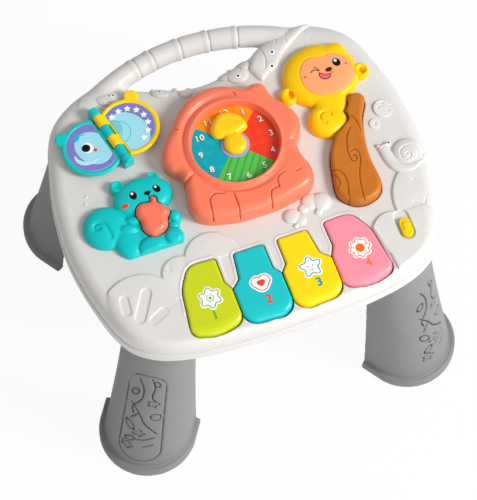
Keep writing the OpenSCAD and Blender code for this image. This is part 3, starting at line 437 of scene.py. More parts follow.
def noise(tree, place, scale, detail, rough):
    inputs = {"Vector": place, "Scale": scale, "Detail": detail, "Roughness": rough}
    return node(tree, "ShaderNodeTexNoise", inputs).outputs["Fac"]


def maths(tree, operation, *values):
    return node(tree, "ShaderNodeMath", dict(enumerate(values)), operation=operation).outputs[0]


def mapped(tree, value, *span):
    """A value mapped from one range to another."""
    inputs = dict(zip(("From Min", "From Max", "To Min", "To Max"), span))
    return node(tree, "ShaderNodeMapRange", {"Value": value, **inputs}).outputs["Result"]


def plastic(name, colour, rough, mottle, grain, coat, shine, pattern):
    """Moulded plastic: a faint cloudiness, an uneven gloss and a fine moulding grain."""
    material = bpy.data.materials.new(name)
    material.use_nodes = True
    tree = material.node_tree
    place = node(tree, "ShaderNodeTexCoord").outputs["Object"]
    cloud = noise(tree, place, 38.0, 3.0, 0.55)
    fine = noise(tree, place, 1300.0, 2.0, 0.6)
    wave = noise(tree, place, 150.0, 2.0, 0.5)
    base = linear(colour)
    ramp = node(tree, "ShaderNodeValToRGB", {"Fac": cloud})
    for element, at, share in zip(ramp.color_ramp.elements, (0.3, 0.7), (1 - mottle, 1 + mottle)):
        element.position = at
        element.color = (*(min(c * share, 1) for c in base), 1)
    gloss = mapped(tree, wave, 0.0, 1.0, rough - 0.05, rough + 0.06)
    both = maths(tree, "MULTIPLY_ADD", fine, 0.5, wave)
    bump = node(tree, "ShaderNodeBump", {"Height": both, "Strength": grain, "Distance": 0.00012})
    wire(tree, tree.nodes["Principled BSDF"], {
        "Base Color": pattern(tree, place) if pattern else ramp.outputs["Color"],
        "Roughness": gloss, "Normal": bump.outputs["Normal"],
        "Specular IOR Level": shine, "Coat Weight": coat, "Coat Roughness": 0.12})
    return material


# Each finish: the material's name, its colour or the property that holds it, roughness, mottle,
# grain, coat and shine. The keys share their last five values, and so do the pages, the inks and the
# painted shade laid in the bottoms of grooves.
KEY, PAGE = (0.27, 0.02, 0.14, 0.15, 0.36), (0.3, 0.02, 0.15, 0.0, 0.36)
INK, LINE = (0.45, 0.04, 0.1, 0.0, 0.2), (0.6, 0.06, 0.1, 0.0, 0.1)
FINISHES = {
    "white": ("white_shell", "body_colour", 0.42, 0.012, 0.3, 0.0, 0.5),
    "grey": ("grey_leg", "leg_colour", 0.45, 0.03, 0.4, 0.0, 0.36),
    "coral": ("coral_housing", "housing_colour", 0.32, 0.03, 0.2, 0.0, 0.5),
    "acorn": ("coral_acorn", "acorn_colour", 0.26, 0.02, 0.12, 0.0, 0.5),
    "teal": ("teal_squirrel", "squirrel_colour", 0.34, 0.04, 0.2, 0.0, 0.28),
    "yellow": ("yellow_monkey", "monkey_colour", 0.32, 0.03, 0.18, 0.0, 0.28),
    "hand": ("yellow_hand", "monkey_colour", 0.24, 0.02, 0.12, 0.0, 0.5),
    "peach": ("peach_face", "face_colour", 0.38, 0.03, 0.2, 0.0, 0.36),
    "brown": ("brown_trunk", "trunk_colour", 0.4, 0.07, 0.3, 0.0, 0.36),
    "lime_key": ("lime_key", "lime_colour", *KEY),
    "teal_key": ("teal_key", "teal_colour", *KEY),
    "yellow_key": ("yellow_key", "yellow_colour", *KEY),
    "pink_key": ("pink_key", "pink_colour", *KEY),
    "book_teal": ("teal_page", "squirrel_colour", *PAGE),
    "book_yellow": ("yellow_page", (1.0, 0.84, 0.08), *PAGE),
    "sky": ("sky_print", (0.62, 0.87, 0.93), 0.3, 0.015, 0.1, 0.15, 0.36),
    "lavender": ("lavender_print", (0.5, 0.48, 0.78), 0.35, 0.02, 0.1, 0.1, 0.36),
    "hub": ("lavender_hub", (0.66, 0.65, 0.86), 0.35, 0.02, 0.1, 0.0, 0.36),
    "ink_white": ("white_print", (0.97, 0.97, 0.96), 0.3, 0.01, 0.1, 0.2, 0.36),
    "ink_black": ("black_print", (0.03, 0.025, 0.035), 0.5, 0.1, 0.05, 0.0, 0.2),
    "ink_brown": ("brown_print", (0.25, 0.09, 0.04), 0.5, 0.08, 0.1, 0.0, 0.2),
    "ink_red": ("red_print", (0.95, 0.27, 0.14), *INK),
    "ink_pink": ("pink_print", (0.97, 0.36, 0.5), *INK),
    "ink_green": ("green_print", (0.45, 0.68, 0.06), *INK),
    "ink_teal": ("teal_print", (0.0, 0.6, 0.66), *INK),
    "hollow": ("ear_hollow", (1.0, 0.56, 0.0), *INK),
    "ink_slate": ("slate_print", (0.3, 0.36, 0.42), 0.45, 0.05, 0.1, 0.0, 0.2),
    "ink_orange": ("orange_print", (1.0, 0.43, 0.06), *INK),
    "ink_sky": ("sky_mark", (0.1, 0.7, 0.88), *INK),
    "ink_pond": ("pond_print", (0.45, 0.8, 0.84), 0.45, 0.03, 0.1, 0.0, 0.2),
    "ink_pale": ("pale_print", (0.72, 0.9, 0.97), 0.45, 0.02, 0.1, 0.0, 0.2),
    "shade": ("dark_print", (0.25, 0.12, 0.1), 0.5, 0.05, 0.1, 0.0, 0.2),
    # The next three finishes are painted shade, laid in the bottoms of engraved grooves.
    "leg_shade_in_grooves": ("leg_painted_shade", (0.27, 0.275, 0.27), 0.6, 0.05, 0.1, 0.0, 0.2),
    "coral_shade_in_grooves": ("coral_painted_shade", (0.7, 0.2, 0.13), *LINE),
    "trunk_line": ("trunk_painted_shade", (0.6, 0.3, 0.07), *LINE),
    "board": ("circuit_board", (0.1, 0.38, 0.22), 0.4, 0.08, 0.3, 0.0, 0.36),
    "rubber": ("grey_rubber", (0.34, 0.35, 0.37), 0.7, 0.06, 0.4, 0.0, 0.36),
    "black": ("black_plastic", (0.1, 0.1, 0.11), 0.45, 0.08, 0.3, 0.0, 0.36),
    "steel": ("steel", (0.72, 0.73, 0.75), 0.32, 0.08, 0.35, 0.0, 0.36),
    "cell": ("cell_sleeve", (0.16, 0.42, 0.27), 0.25, 0.05, 0.1, 0.4, 0.36),
    "dial": ("dial_print", (1.0, 1.0, 1.0), 0.4, 0.02, 0.08, 0.0, 0.3),
}
MADE = {}


def finish(key):
    """The material of that finish, made on first use."""
    if key not in MADE:
        name, colour, *values = FINISHES[key]
        if isinstance(colour, str):
            colour = getattr(looks(), colour)
        MADE[key] = plastic(name, colour, *values, dial_pattern if key == "dial" else None)
        shader = MADE[key].node_tree.nodes["Principled BSDF"]
        shader.inputs["Metallic"].default_value = float(key == "steel")
    return MADE[key]


QUARTERS = [(0.0, (0.33, 0.76, 0.31)), (0.125, (0.0, 0.69, 0.74)), (0.375, (1.0, 0.6, 0.02)),
            (0.625, (1.0, 0.25, 0.14)), (0.875, (0.33, 0.76, 0.31))]


def dial_pattern(tree, place):
    """Four coloured quarters, one with darker stripes and one with faint spots."""
    middle = (-CLOCK[0] * MM, -(CLOCK[1] + DECK[1]) * MM, 0)
    centre = node(tree, "ShaderNodeMapping", {"Vector": place, "Location": middle}).outputs["Vector"]
    split = node(tree, "ShaderNodeSeparateXYZ", {"Vector": centre})
    angle = maths(tree, "ARCTAN2", split.outputs["X"], split.outputs["Y"])
    turn = maths(tree, "MULTIPLY_ADD", angle, 0.5 / math.pi, 0.5)
    ramp = node(tree, "ShaderNodeValToRGB", {"Fac": turn})
    ramp.color_ramp.interpolation = "CONSTANT"
    while len(ramp.color_ramp.elements) < len(QUARTERS):
        ramp.color_ramp.elements.new(0.5)
    for element, (at, colour) in zip(ramp.color_ramp.elements, QUARTERS):
        element.position = at
        element.color = (*linear(colour), 1)
    slant = node(tree, "ShaderNodeMapping", {"Vector": centre, "Rotation": (0, 0, math.radians(35))})
    inputs = {"Vector": slant.outputs["Vector"], "Scale": 48.0, "Distortion": 0.9}
    stripes = node(tree, "ShaderNodeTexWave", inputs)
    sharp = mapped(tree, stripes.outputs["Fac"], 0.12, 0.3, 0.7, 1.0)
    spots = node(tree, "ShaderNodeTexVoronoi", {"Vector": centre, "Scale": 130.0})
    soft = mapped(tree, spots.outputs["Distance"], 0.25, 0.5, 1.0, 0.86)
    # Stripes and spots count on opposite sides of the dial.
    is_low = maths(tree, "LESS_THAN", maths(tree, "PINGPONG", turn, 0.5), 0.125)
    shade = node(tree, "ShaderNodeMix", {0: is_low, 2: soft, 3: sharp}, data_type="FLOAT").outputs[0]
    inputs = {0: 1.0, 6: ramp.outputs["Color"], 7: shade}
    return node(tree, "ShaderNodeMix", inputs, data_type="RGBA", blend_type="MULTIPLY").outputs[2]


# ---------- properties ----------
def colour(name, words, default):
    return bpy.props.FloatVectorProperty(name=name, description=words, default=default, size=3,
                                         subtype="COLOR_GAMMA", min=0.0, max=1.0)


def length(name, words, default):
    return bpy.props.FloatProperty(name=name, description=words, default=default * MM, unit="LENGTH",
                                   min=0.0, precision=5)


class TableLooks(bpy.types.PropertyGroup):
    """Colours and small sizes of the activity table."""
    body_colour: colour("Shells", "Colour of the two white shells", (0.855, 0.845, 0.83))
    leg_colour: colour("Legs", "Colour of the four legs", (0.495, 0.5, 0.495))
    housing_colour: colour("Clock housing", "Colour of the clock housing", (1.0, 0.49, 0.365))
    acorn_colour: colour("Acorn", "Colour of the acorn button", (1.0, 0.47, 0.37))
    squirrel_colour: colour("Squirrel", "Colour of the squirrel and one page", (0.0, 0.77, 0.765))
    monkey_colour: colour("Monkey", "Colour of the monkey and the hand", (1.0, 0.8, 0.0))
    face_colour: colour("Face", "Colour of the monkey's face", (1.0, 0.65, 0.43))
    trunk_colour: colour("Trunk", "Colour of the tree trunk", (0.77, 0.44, 0.11))
    lime_colour: colour("First key", "Colour of the first key", (0.79, 0.83, 0.08))
    teal_colour: colour("Second key", "Colour of the second key", (0.08, 0.76, 0.77))
    yellow_colour: colour("Third key", "Colour of the third key", (1.0, 0.85, 0.0))
    pink_colour: colour("Fourth key", "Colour of the fourth key", (1.0, 0.57, 0.63))
    groove_width: length("Groove", "Width of the engraved lines", 0.9)
    groove_depth: length("Groove depth", "Depth of the engraved lines", 0.8)
    collar_rise: length("Cane joints", "Height of the joints on the handle", 0.7)
    fill_light: bpy.props.FloatProperty(name="Fill", description="Strength of the light from all round",
                                        default=0.47, min=0.0)
    key_light: bpy.props.FloatProperty(name="Key", description="Power of the main lamp", default=66.0,
                                       unit="POWER", min=0.0)


def looks():
    return bpy.context.scene.activity_table


def groove(x, y, lines, scale=1.0):
    """How far engraved lines lower a surface."""
    width, depth = looks().groove_width / MM * scale, looks().groove_depth / MM
    total = 0.0
    for line in lines:
        d = to_line(drawn(line), x, y)
        total = np.maximum(total, depth * np.clip(1 - (d / width) ** 2, 0, 1))
    return total


# ---------- upper shell ----------
# Each hill: the middle of its arc, its radius and its height.
HILLS = ((-131.7, -131.7, 38.1, 2.1), (-85.9, -106.2, 17.2, 1.82), (-53.2, -100.7, 25.2, 1.82),
         (168.7, -111.8, 43.8, 2.38))
# The switch's hill, the sunk leaves, the keys' valley, the lip round the keys and the tongues.
SWITCH_RISE, LEAF_DEPTH, VALLEY_DEPTH, LIP_RISE, TONGUE_DEPTH = 2.6, 1.1, 1.5, 0.7, 0.9
TONGUES, TONGUE_HALF = (-46.7, 0.0, 46.7), 10
# The sunk leaves at the front left, each a bar with round ends, and the thin ones at the front right.
LEAVES = (((-144.2, -114.5), (-145.5, -126.3), 4.3), ((-122.8, -114.6), (-136, -136.4), 5.0),
          ((-113.4, -137), (-124.5, -142.1), 4.1))
LEAF_LINES = [[(150.7, -90), (157.2, -99.2), (162, -107), (162.6, -110.7)],
              [(168.3, -96.5), (168.1, -102.2)],
              [(143.4, -111.3), (148.2, -114.6), (151.8, -116.7), (154.5, -112.4)]]
DECK_LINES = [[(-29.6, -93), (-24.6, -90.8), (-18.9, -90.4)], [(-94.9, -97.8), (-93.6, -100.4)],
              [(-96.6, -129.8), (-93.7, -130.9)]] + LEAF_LINES
SEEDS = ((-143, -2), (-145.5, -9), (-49, -17), (-46, -23), (-54, -13), (-60, -86), (-44, -88),
         (-67, -95))
SWITCH_HILL = (115.7, -134.6, 21.1)
SWITCH_PLATE = [(100, -128), (103.5, -157), (107, -192), (190, -192), (190, -150), (150, -118),
                (126, -117)]
VALLEY = [(-104, -192), (-104, -150), (80, -150), (92.5, -107), (99.5, -135), (103.5, -156),
          (107, -192)]
BIG_ANIMAL = [(50, 79), (47.3, 73), (48.5, 66.5), (54.5, 56.5), (64.5, 62.5), (73, 66), (81, 75),
              (93, 84), (104, 91), (111, 95.5), (118.5, 99.3), (117, 102.5), (103, 103.5),
              (84, 101.5), (70, 98), (57, 90)]
BIG_ANIMAL_LINES = [[(64.2, 90.4), (65.2, 84.1), (64.9, 77.9), (63, 70.9), (61.2, 66.6)],
                    [(71.1, 97), (75.7, 96.4)], [(82.5, 94.7), (80.2, 90.1)],
                    [(85, 93.8), (90.5, 90.3), (90.3, 88)], [(95.1, 101.6), (97.5, 98.8)],
                    [(88.9, 97.1), (92.3, 95)]]
# The low round animals along the back edge: place, radii, height and turn; then their round ears.
SMALL_ANIMALS = ((-87, 89, 15, 8.5, 3.0, -8), (-108, 92, 12, 8, 1.4, 12), (-40, 79, 10, 7, 3.0, -30),
                 (-31, 75, 7, 5, 2.2, -30), (-18.5, 69.5, 6.5, 5.5, 2.6, -25),
                 (34, 72, 11.5, 10, 3.2, -20), (42, 81, 8, 7, 2.4, -20), (24, 76, 8, 7, 2.4, 0))
SMALL_EARS = ((-96, 97), (-79, 95.5), (-46, 85), (-26, 80), (-14, 73), (29, 81), (40, 75))
SMALL_LINES = [[(-93, 85), (-88, 83.4), (-83, 84.6)], [(-36, 81), (-30, 80.5), (-26, 76), (-27, 73)],
               [(-47.3, 85.8), (-43, 82), (-36, 76.4)], [(37, 80), (39.6, 77.4), (39.2, 74.4)],
               [(-112, 96), (-106, 97.5)], [(-105.3, 95), (-102, 92)]]
# Each raised leaf: its middle, radius and height.
RAISED_LEAVES = (((151.8, -10.0), 9.4, 2.4), ((138.6, -22.6), 5.4, 1.8))
LEAF_MARKS = [[(149.3, -4.4), (154.5, -4.3)], [(146.5, -8.8), (149.8, -6.6), (153.2, -7.6)],
              [(159.4, -9.3), (160.8, -9.5)], [(155, -13.2), (156.2, -14.6)],
              [(139.6, -21.3), (138.7, -24.6)]]
# Each petal: its middle, its radii and its height.
FLOWERS = ((30.8, -87, 8.4, 7.8, 3.8), (37.2, -92.6, 6.2, 5.8, 2.8), (31, -97.4, 2.6, 2.2, 1.9),
           (52.0, -78.5, 8.6, 8.2, 3.4), (62.2, -81.6, 9.6, 9.4, 4.2), (56.0, -90.8, 3.8, 3.2, 2.3),
           (43.6, -83, 5, 4.6, 2.2))
# The snail: its body, its feelers, its mouth, and the middle, radius and coil of its shell.
SNAIL_FEELERS = (((135.4, -51), (132.2, -46.0)), ((138.6, -50.5), (140.8, -46.4)))
SNAIL_MOUTH = [(134.2, -50.6), (137, -49.4), (140.4, -48.9)]
SNAIL_BODY = [(136.6, -50.6), (137.4, -58.4), (139.1, -66.1), (142.2, -72.4), (148, -76.2),
              (156.5, -77.4), (166, -74.6)]
SNAIL_SHELL = ((156.6, -61.2), 14.8)
SNAIL_COIL = [(153.7, -64.1), (156.4, -63.1), (157.8, -65.6), (156.1, -68.2), (151.7, -69.1),
              (149.3, -66.4), (148.9, -62.3), (150.9, -57.9), (155.8, -55.8), (162.3, -56.9),
              (164.8, -61.1), (165.5, -66.5), (162.7, -70.6), (157.8, -72.7), (154.3, -71.4)]


def deck_relief(x, y, well):
    """Height of the low relief over the flat deck."""
    h = np.zeros(np.broadcast(x, y).shape, np.float32)
    for cx, cy, r, rise in HILLS:
        fade = step(((x - cx) * -0.5 + (y - cy) * 0.87) / r + 0.15, 1.6)
        inside = np.maximum(1 - np.hypot(x - cx, y - cy) / r, 0)
        fade = fade * step((x - cx) / r + 0.64 + 0.5 * (cx > -100), 0.12 + 1.5 * inside)
        h = np.maximum(h, rise * step(r - np.hypot(x - cx, y - cy) + 0.4, 2.4) * fade)
    cx, cy, r = SWITCH_HILL
    plate = to_outline(np.array(SWITCH_PLATE), x, y)
    hill = step(0.4 - join(np.hypot(x - cx, y - cy) - r, plate, 4), 2.2)
    h = np.maximum(h, SWITCH_RISE * hill * step(172 - x, 50))
    for a, b, r in LEAVES:
        h = h - LEAF_DEPTH * step(-bar(x, y, a, b, r), 1.1)
    # The valley that the keys lie in, with the raised lip round them and the sunk tongues between them.
    h = h - VALLEY_DEPTH * step(-to_outline(np.array(VALLEY), x, y), 3.0 + 9.0 * step(-x, 80))
    h = h + LIP_RISE * np.exp(-((well - 1.7) / 1.1) ** 2) * step(y + 148, 12)
    for s in TONGUES:
        tongue = np.maximum(np.abs(x - KEYS_X - s) - TONGUE_HALF, y + 103)
        h = h - TONGUE_DEPTH * step(np.minimum(well - 3.4, -tongue), 0.8)
    h = h - groove(x, y, DECK_LINES, 1.2)
    for place in SEEDS:
        h = np.maximum(h, puff(x, y, place, (1.7, 1.2), 0.9, 30))
    return h


def rounded(share, power):
    """Height of a round-topped form, from 1 in its middle to 0 where share is 1."""
    return np.clip(1 - share ** power, 0, 1) ** 0.5


def raised_leaves(x, y):
    """Two round leaves that rise towards their left edges."""
    h = 0.0
    for (cx, cy), r, rise in RAISED_LEAVES:
        tilt = np.clip(0.55 - ((x - cx) * 0.85 - (y - cy) * 0.35) / (2.2 * r), 0.12, 1)
        h = np.maximum(h, rise * step(r - np.hypot(x - cx, y - cy), 1.0) * tilt)
    return np.where(h > 0.05, h - groove(x, y, LEAF_MARKS, 0.9), 0)


def flowers(x, y):
    h = 0.0
    for px, py, rx, ry, rise in FLOWERS:
        h = np.maximum(h, puff(x, y, (px, py), (rx, ry), rise, 0, 2.6))
    return h


def snail(x, y):
    (cx, cy), r = SNAIL_SHELL
    neck = 5.6 - 3.2 * step(x - 160, 20)
    h = 3.6 * rounded(to_line(smooth_line(SNAIL_BODY), x, y) / neck, 2.4)
    for feeler in SNAIL_FEELERS:
        h = np.maximum(h, 3.0 * rounded(bar(x, y, *feeler, 0) / 2.1, 2))
    h = np.maximum(h, puff(x, y, (142.4, -47), (2.6, 2.6), 3.8))
    h = h - groove(x, y, [SNAIL_MOUTH], 0.8)
    shell = 5.2 * rounded(np.hypot(x - cx, y - cy) / r, 2.6)
    return np.maximum(h, shell - groove(x, y, [SNAIL_COIL], 1.1))


def big_animal(x, y):
    """The large animal in relief beside the handle."""
    h = 3.6 * rounded(np.clip(1 + to_outline(closed_curve(BIG_ANIMAL, 5), x, y) / 6, 0, 1), 2.2)
    return np.where(h > 0.05, np.maximum(h - groove(x, y, BIG_ANIMAL_LINES, 0.9), 0), 0)


def small_animals(x, y):
    """The low round animals along the back edge."""
    h = 0.0
    for px, py, rx, ry, rise, turn in SMALL_ANIMALS:
        h = np.maximum(h, puff(x, y, (px, py), (rx, ry), rise, turn, 3.0))
    for place in SMALL_EARS:
        h = np.maximum(h, puff(x, y, place, (3.2, 3.2), 3.0))
    return np.where(h > 0.05, np.maximum(h - groove(x, y, SMALL_LINES, 0.9), 0), 0)


def shell_surface(x, y, z):
    """The rounded upper surface of the deck, without openings or relief."""
    flat = to_outline(BODY, x, y) + RIM_STEP
    gx = np.gradient(flat[:, :, 0], x[1, 0, 0] - x[0, 0, 0], axis=0)
    gy = np.gradient(flat[:, :, 0], y[0, 1, 0] - y[0, 0, 0], axis=1)
    front = np.maximum(0, -gy / np.maximum(np.hypot(gx, gy), 1e-3))[:, :, None]
    width = EDGE_W * (1 - FRONT_SHARE * front ** 3)
    return pillow(flat, z, 0, width, EDGE_DROP), flat, width


def make_relief(name, box, height, fine=0.38):
    """A relief figure of its own, its foot sunk in the upper shell."""
    x, y, z = axes = grid(*box, (fine, fine, 0.4))
    surface = shell_surface(x, y, z)[0]
    h = np.broadcast_to(height(x, y), surface.shape)
    values = overlap(surface - h, -(surface + RELIEF_ROOT), 0.2 - h)
    cast(name, axes, values, "white", 60000, "table", "white_plastic")


def handle_form(x, y, z):
    """The round carrying handle with its cane joints; its ends dive into the deck."""
    dx, dy = x - HANDLE_X, y - (HANDLE_CROWN - HANDLE_ARCH)
    around = np.degrees(np.arctan2(dx, dy))
    r = HANDLE_R - 0.3
    rise = looks().collar_rise / MM
    for a in COLLARS:
        s = (around - a) * math.radians(1) * HANDLE_ARCH
        swell = rise * np.clip(1 - np.abs(s + 2.2) / 3.4, 0, 1) ** 0.7 * (s < 0.4)
        r = r + swell - 1.5 * np.exp(-((s - 0.9) / 0.6) ** 2)
    sink = 7.0 * step(np.abs(around) - 29.5, 7)
    tube = np.sqrt((np.hypot(dx, dy) - HANDLE_ARCH) ** 2 + (z + HANDLE_DROP + sink) ** 2) - r
    return np.maximum(tube, (np.abs(around) - 33.0) * math.radians(1) * HANDLE_ARCH)


def deck_form(x, y, z):
    """The upper shell."""
    form, flat, width = shell_surface(x, y, z)
    well = np.full(flat.shape, 1e3, np.float32)
    for line in KEYS:
        x0, y0 = line.min(0) - 12
        x1, y1 = line.max(0) + 12
        i = slice(*np.searchsorted(x[:, 0, 0], (x0, x1)))
        j = slice(*np.searchsorted(y[0, :, 0], (y0, y1)))
        well[i, j] = np.minimum(well[i, j], to_outline(line, x[i], y[:, j]) - KEY_GAP)
    form = form - deck_relief(x, y, well) * step(-flat - 3.5, 5) * step(z + 6, 6)
    form = join(form, handle_form(x, y, z), 9.0)
    form = np.maximum(form, -UPPER_H - z)
    hollow = pillow(flat + WALL + 0.6, z, -WALL, width, EDGE_DROP - WALL)
    form = cut(form, np.maximum(hollow, z + WALL))
    form = cut(form, well, 0.7)
    form = cut(form, to_outline(closed_curve(TRUNK, 5), x, y) - FIGURE_GAP, 0.6)
    track = bar(x, y, (126, -139.5), (126, -122.5), 7.2)
    form = cut(form, np.maximum(track, 0.5 - z), 0.5)
    return form


# The small eyes of the animals in relief: place, size and the relief that each lies on.
RELIEF_EYES = {
    "left": ((-87.6, 90.4), 1.1, small_animals), "left_second": ((-84.1, 89.8), 1.1, small_animals),
    "middle": ((-40.9, 79.8), 1.2, small_animals), "round": ((-18.2, 69.3), 0.9, small_animals),
    "low": ((34.4, 68.6), 1.3, small_animals), "big_upper": ((73.6, 81.4), 1.4, big_animal),
    "big_lower": ((68.3, 67.2), 1.4, big_animal), "snail": ((142.9, -47.2), 1.1, snail),
}


def make_upper_shell():
    x, y, z = axes = grid(-182, 182, -188, 138, -21.5, 8, (0.75, 0.75, 0.6))
    cast("upper_shell", axes, deck_form(x, y, z), "white", 190000,
         "table", "white_plastic", "top_shell")
    make_relief("leaf_relief", (131, 163, -30, 1, -3, 4), raised_leaves)
    make_relief("flower_relief", (20, 82, -102, -68, -3, 6), flowers)
    make_relief("snail_relief", (128, 173, -86, -43, -4, 7), snail)
    make_relief("big_animal_relief", (43, 122, 53, 107, -12, 5), big_animal)
    make_relief("small_animals_relief", (-122, 54, 60, 103, -10, 5), small_animals, 0.45)
    for name, ((cx, cy), size, relief) in RELIEF_EYES.items():
        box = (cx - 4, cx + 4, cy - 4, cy + 4, -8, 6)

        def form(x, y, z):
            return shell_surface(x, y, z)[0] - relief(x, y)

        for part, share, key, lift in (("rim", 2.0, "ink_white", 0.12), ("dot", 1.0, "ink_black", 0.25)):
            inlay(f"eye_{part}_{name}", form,
                  lambda x, y: np.hypot(x - cx, y - cy) - size * share, box, key, "table", lift)


# ---------- clock ----------
HOUSING_LINES = [
    [(-41.4, -77), (-39.6, -62), (-38.2, -54), (-34.6, -50), (-29.6, -49.6), (-22.5, -52)],
    [(-14.9, -54.4), (-14.8, -61.8), (-15.6, -72.3), (-17.4, -79)],
    [(37.3, -49.2), (31.6, -51.2), (28, -55.8), (27.3, -62.4)],
    [(27.3, -62.4), (20.6, -62.8), (17.2, -67.5), (15.6, -76.4)],
    [(47.7, -52.8), (52.2, -51.5)],
    [(20.4, 45.6), (21.6, 44.2), (21.5, 41.8)],
    [(-43.8, 26.4), (-41.4, 26)],
]
# Each fold: its line, depth and width.
HOUSING_FOLDS = (([(-59, -31), (-50, -26.5), (-44.5, -22.5)], 2.6, 1.5),
                 ([(64, -23), (55, -20)], 1.0, 2.5))


def housing_body(x, y, z):
    """The housing without its engraved lines."""
    form = pillow(to_outline(HOUSING_EDGE, x, y), z, CLOCK_TOP, 9.5, 8.5)
    dx, dy = x - CLOCK[0], y - CLOCK[1]
    r, a = np.hypot(dx, dy), np.arctan2(dy, dx)
    side = step(np.cos(a - math.radians(185)) + 0.25, 1.1)
    form = form + (0.3 + 2.4 * side) * np.exp(-((r - 50.0) / (3.0 - 0.8 * side)) ** 2)
    for line, deep, wide in HOUSING_FOLDS:
        form = form + deep * np.exp(-(to_line(np.array(line, float), x, y) / wide) ** 2)
    ring = np.sqrt((r - WINDOW_R - 2.6) ** 2 + (z - CLOCK_TOP + 1.7) ** 2) - 2.6
    form = join(form, np.maximum(ring, -z), 0.8)
    form = cut(form, np.maximum(r - WINDOW_R - 0.22 * (z - DIAL_Z), DIAL_Z - 1 - z), 0.6)
    return np.maximum(form, -z)


def housing_form(x, y, z):
    return housing_body(x, y, z) + groove(x, y, HOUSING_LINES) * (z > 6)


# The ring of hours: its middle, its radii and the size of its numbers.
HOURS, HOUR_RING, HOUR_SIZE = (CLOCK[0] + 1.0, CLOCK[1] + 0.2), (35.0, 34.6), 8.6


def make_clock():
    x, y, z = axes = grid(-69, 73, -81, 63, -1, 23.5, (0.55, 0.55, 0.6))
    cast("clock_shell", axes, housing_form(x, y, z), "coral", 150000,
         "table", "coral_plastic", "clock_housing")
    # Painted shade: darker coral laid in the bottoms of the housing's engraved lines, where shade falls.
    trace("clock_groove_shade", housing_body, HOUSING_LINES, (8, 23), "coral_shade_in_grooves",
          "table", "coral_plastic", 0.32, -0.2)
    for hour in range(1, 13):
        a = math.radians(90 - 30 * hour)
        at = Vector((HOURS[0] + HOUR_RING[0] * math.cos(a), HOURS[1] + HOUR_RING[1] * math.sin(a), DIAL_Z))
        below = at + Vector((-0.4, -0.5, 0.0))
        numeral(f"hour_{hour}_shade", hour, HOUR_SIZE, below, 0.1, "shade", 0.035, "table")
        numeral(f"hour_{hour}", hour, HOUR_SIZE, at, 0.18, "ink_white", 0.018, "table")


def numeral(name, number, size, at, rise, ink, spread, body):
    """A printed number, its foot sunk in the surface that it stands on."""
    text = bpy.data.curves.new(name, "FONT")
    text.body = str(number)
    text.size = size
    text.align_x = "CENTER"
    text.align_y = "CENTER"
    text.offset = spread * size
    text.extrude = NUMBER_ROOT
    text.resolution_u = 4
    text.space_character = 1.12
    lettering = placed(name, text)
    graph = bpy.context.evaluated_depsgraph_get()
    mesh = bpy.data.meshes.new_from_object(lettering.evaluated_get(graph))
    bpy.data.objects.remove(lettering)
    bpy.data.curves.remove(text)
    points = np.empty(len(mesh.vertices) * 3)
    mesh.vertices.foreach_get("co", points)
    points = points.reshape(-1, 3)
    points[:, 2] = points[:, 2] - NUMBER_ROOT + rise
    faces = [list(p.vertices) for p in mesh.polygons]
    bpy.data.meshes.remove(mesh)
    obj = new_piece(name, points + np.array(at), faces, finish(ink), smooth=False)
    merged(obj)
    return fit(obj, body, "printed_film")


def merged(obj):
    """Closes the seams between faces that only share places."""
    bm = bmesh.new()
    bm.from_mesh(obj.data)
    bmesh.ops.remove_doubles(bm, verts=bm.verts, dist=1e-7)
    bm.to_mesh(obj.data)
    bm.free()


def hand_form(x, y, z):
    x, y = x - CLOCK[0], y - CLOCK[1]
    foot = 14.1
    cap = pillow(to_outline(closed_curve(HAND_CAP, 5), x, y), z, foot + 6.6, 7.0, 6.0)
    hub = lobe(x, y, z - foot, (0, 0), (11, 11), 6.0, power=2.8)
    stalk = pillow(bar(x, y, (0, 0), (0, 14), 7.5), z, foot + 5.0, 4, 4)
    form = np.maximum(join(join(hub, stalk, 1.2), cap, 0.8), foot - z)
    shaft = overlap(np.hypot(x, y) - 3, z - foot - 2, 7 - z)
    return np.minimum(form, shaft)


def make_hand():
    x, y, z = axes = grid(-16, 26, -18, 33, 6, 22.5, 0.55)
    cast("clock_pointer", axes, hand_form(x, y, z), "hand", 40000,
         "hand", "yellow_plastic", "clock_hand")


# ---------- squirrel ----------
def lumps(table, top, x, y, z):
    """The lumps of a figure whose plate is that high."""
    return {name: lobe(x, y, z, place, radii, top - sink, turn, power, plan)
            for name, (place, radii, sink, turn, power, plan) in table.items()}


# Lumps of the squirrel: place, radii, how far the top lies below the plate's, turn, power, plan.
SQUIRREL = {
    "head": ((-93.5, -22), (29, 20.5), 0, 0, 2.6, 3.6),
    "tail": ((-136, -40), (22, 22), 1.5, 0, 2.6, None),
    "chest": ((-97, -50), (26, 24), 4.0, 0, 3, None),
    "seat": ((-93, -70), (22, 11), 5.0, 0, 4, None),
    "haunch": ((-121, -61.5), (13.5, 17), 2.4, 12, 2.6, None),
    "arm": ((-117.5, -50.6), (10.5, 5.6), 0.8, -20, 2.6, None),
    "shoulder": ((-110, -43.5), (10, 5.0), 2.2, -14, 2.6, None),
    "hand": ((-72.4, -51.5), (6.6, 7.2), 1.0, 0, 2.6, None),
    "palm": ((-76, -60), (6, 5), 3.2, 0, 2.6, None),
    "foot": ((-102, -72.6), (14.2, 9.4), 0.8, 2, 3.0, 3.4),
    "toes": ((-79.5, -70.6), (9.6, 9.6), 1.0, 0, 3.0, None),
}
SQUIRREL_EARS = ((-113, -5.0, 7.5, 7), (-78.5, -6.8, 7, 6.5))
SQUIRREL_CURL = [(-143.2, -41), (-146.4, -40.4), (-145.6, -36.8), (-140.6, -35.6), (-136.8, -38.6),
                 (-135.4, -44), (-134.6, -52)]
SQUIRREL_THUMB = [(-78.5, -54.8), (-74.4, -57.2)]
SQUIRREL_FOOT_Y = -77.5


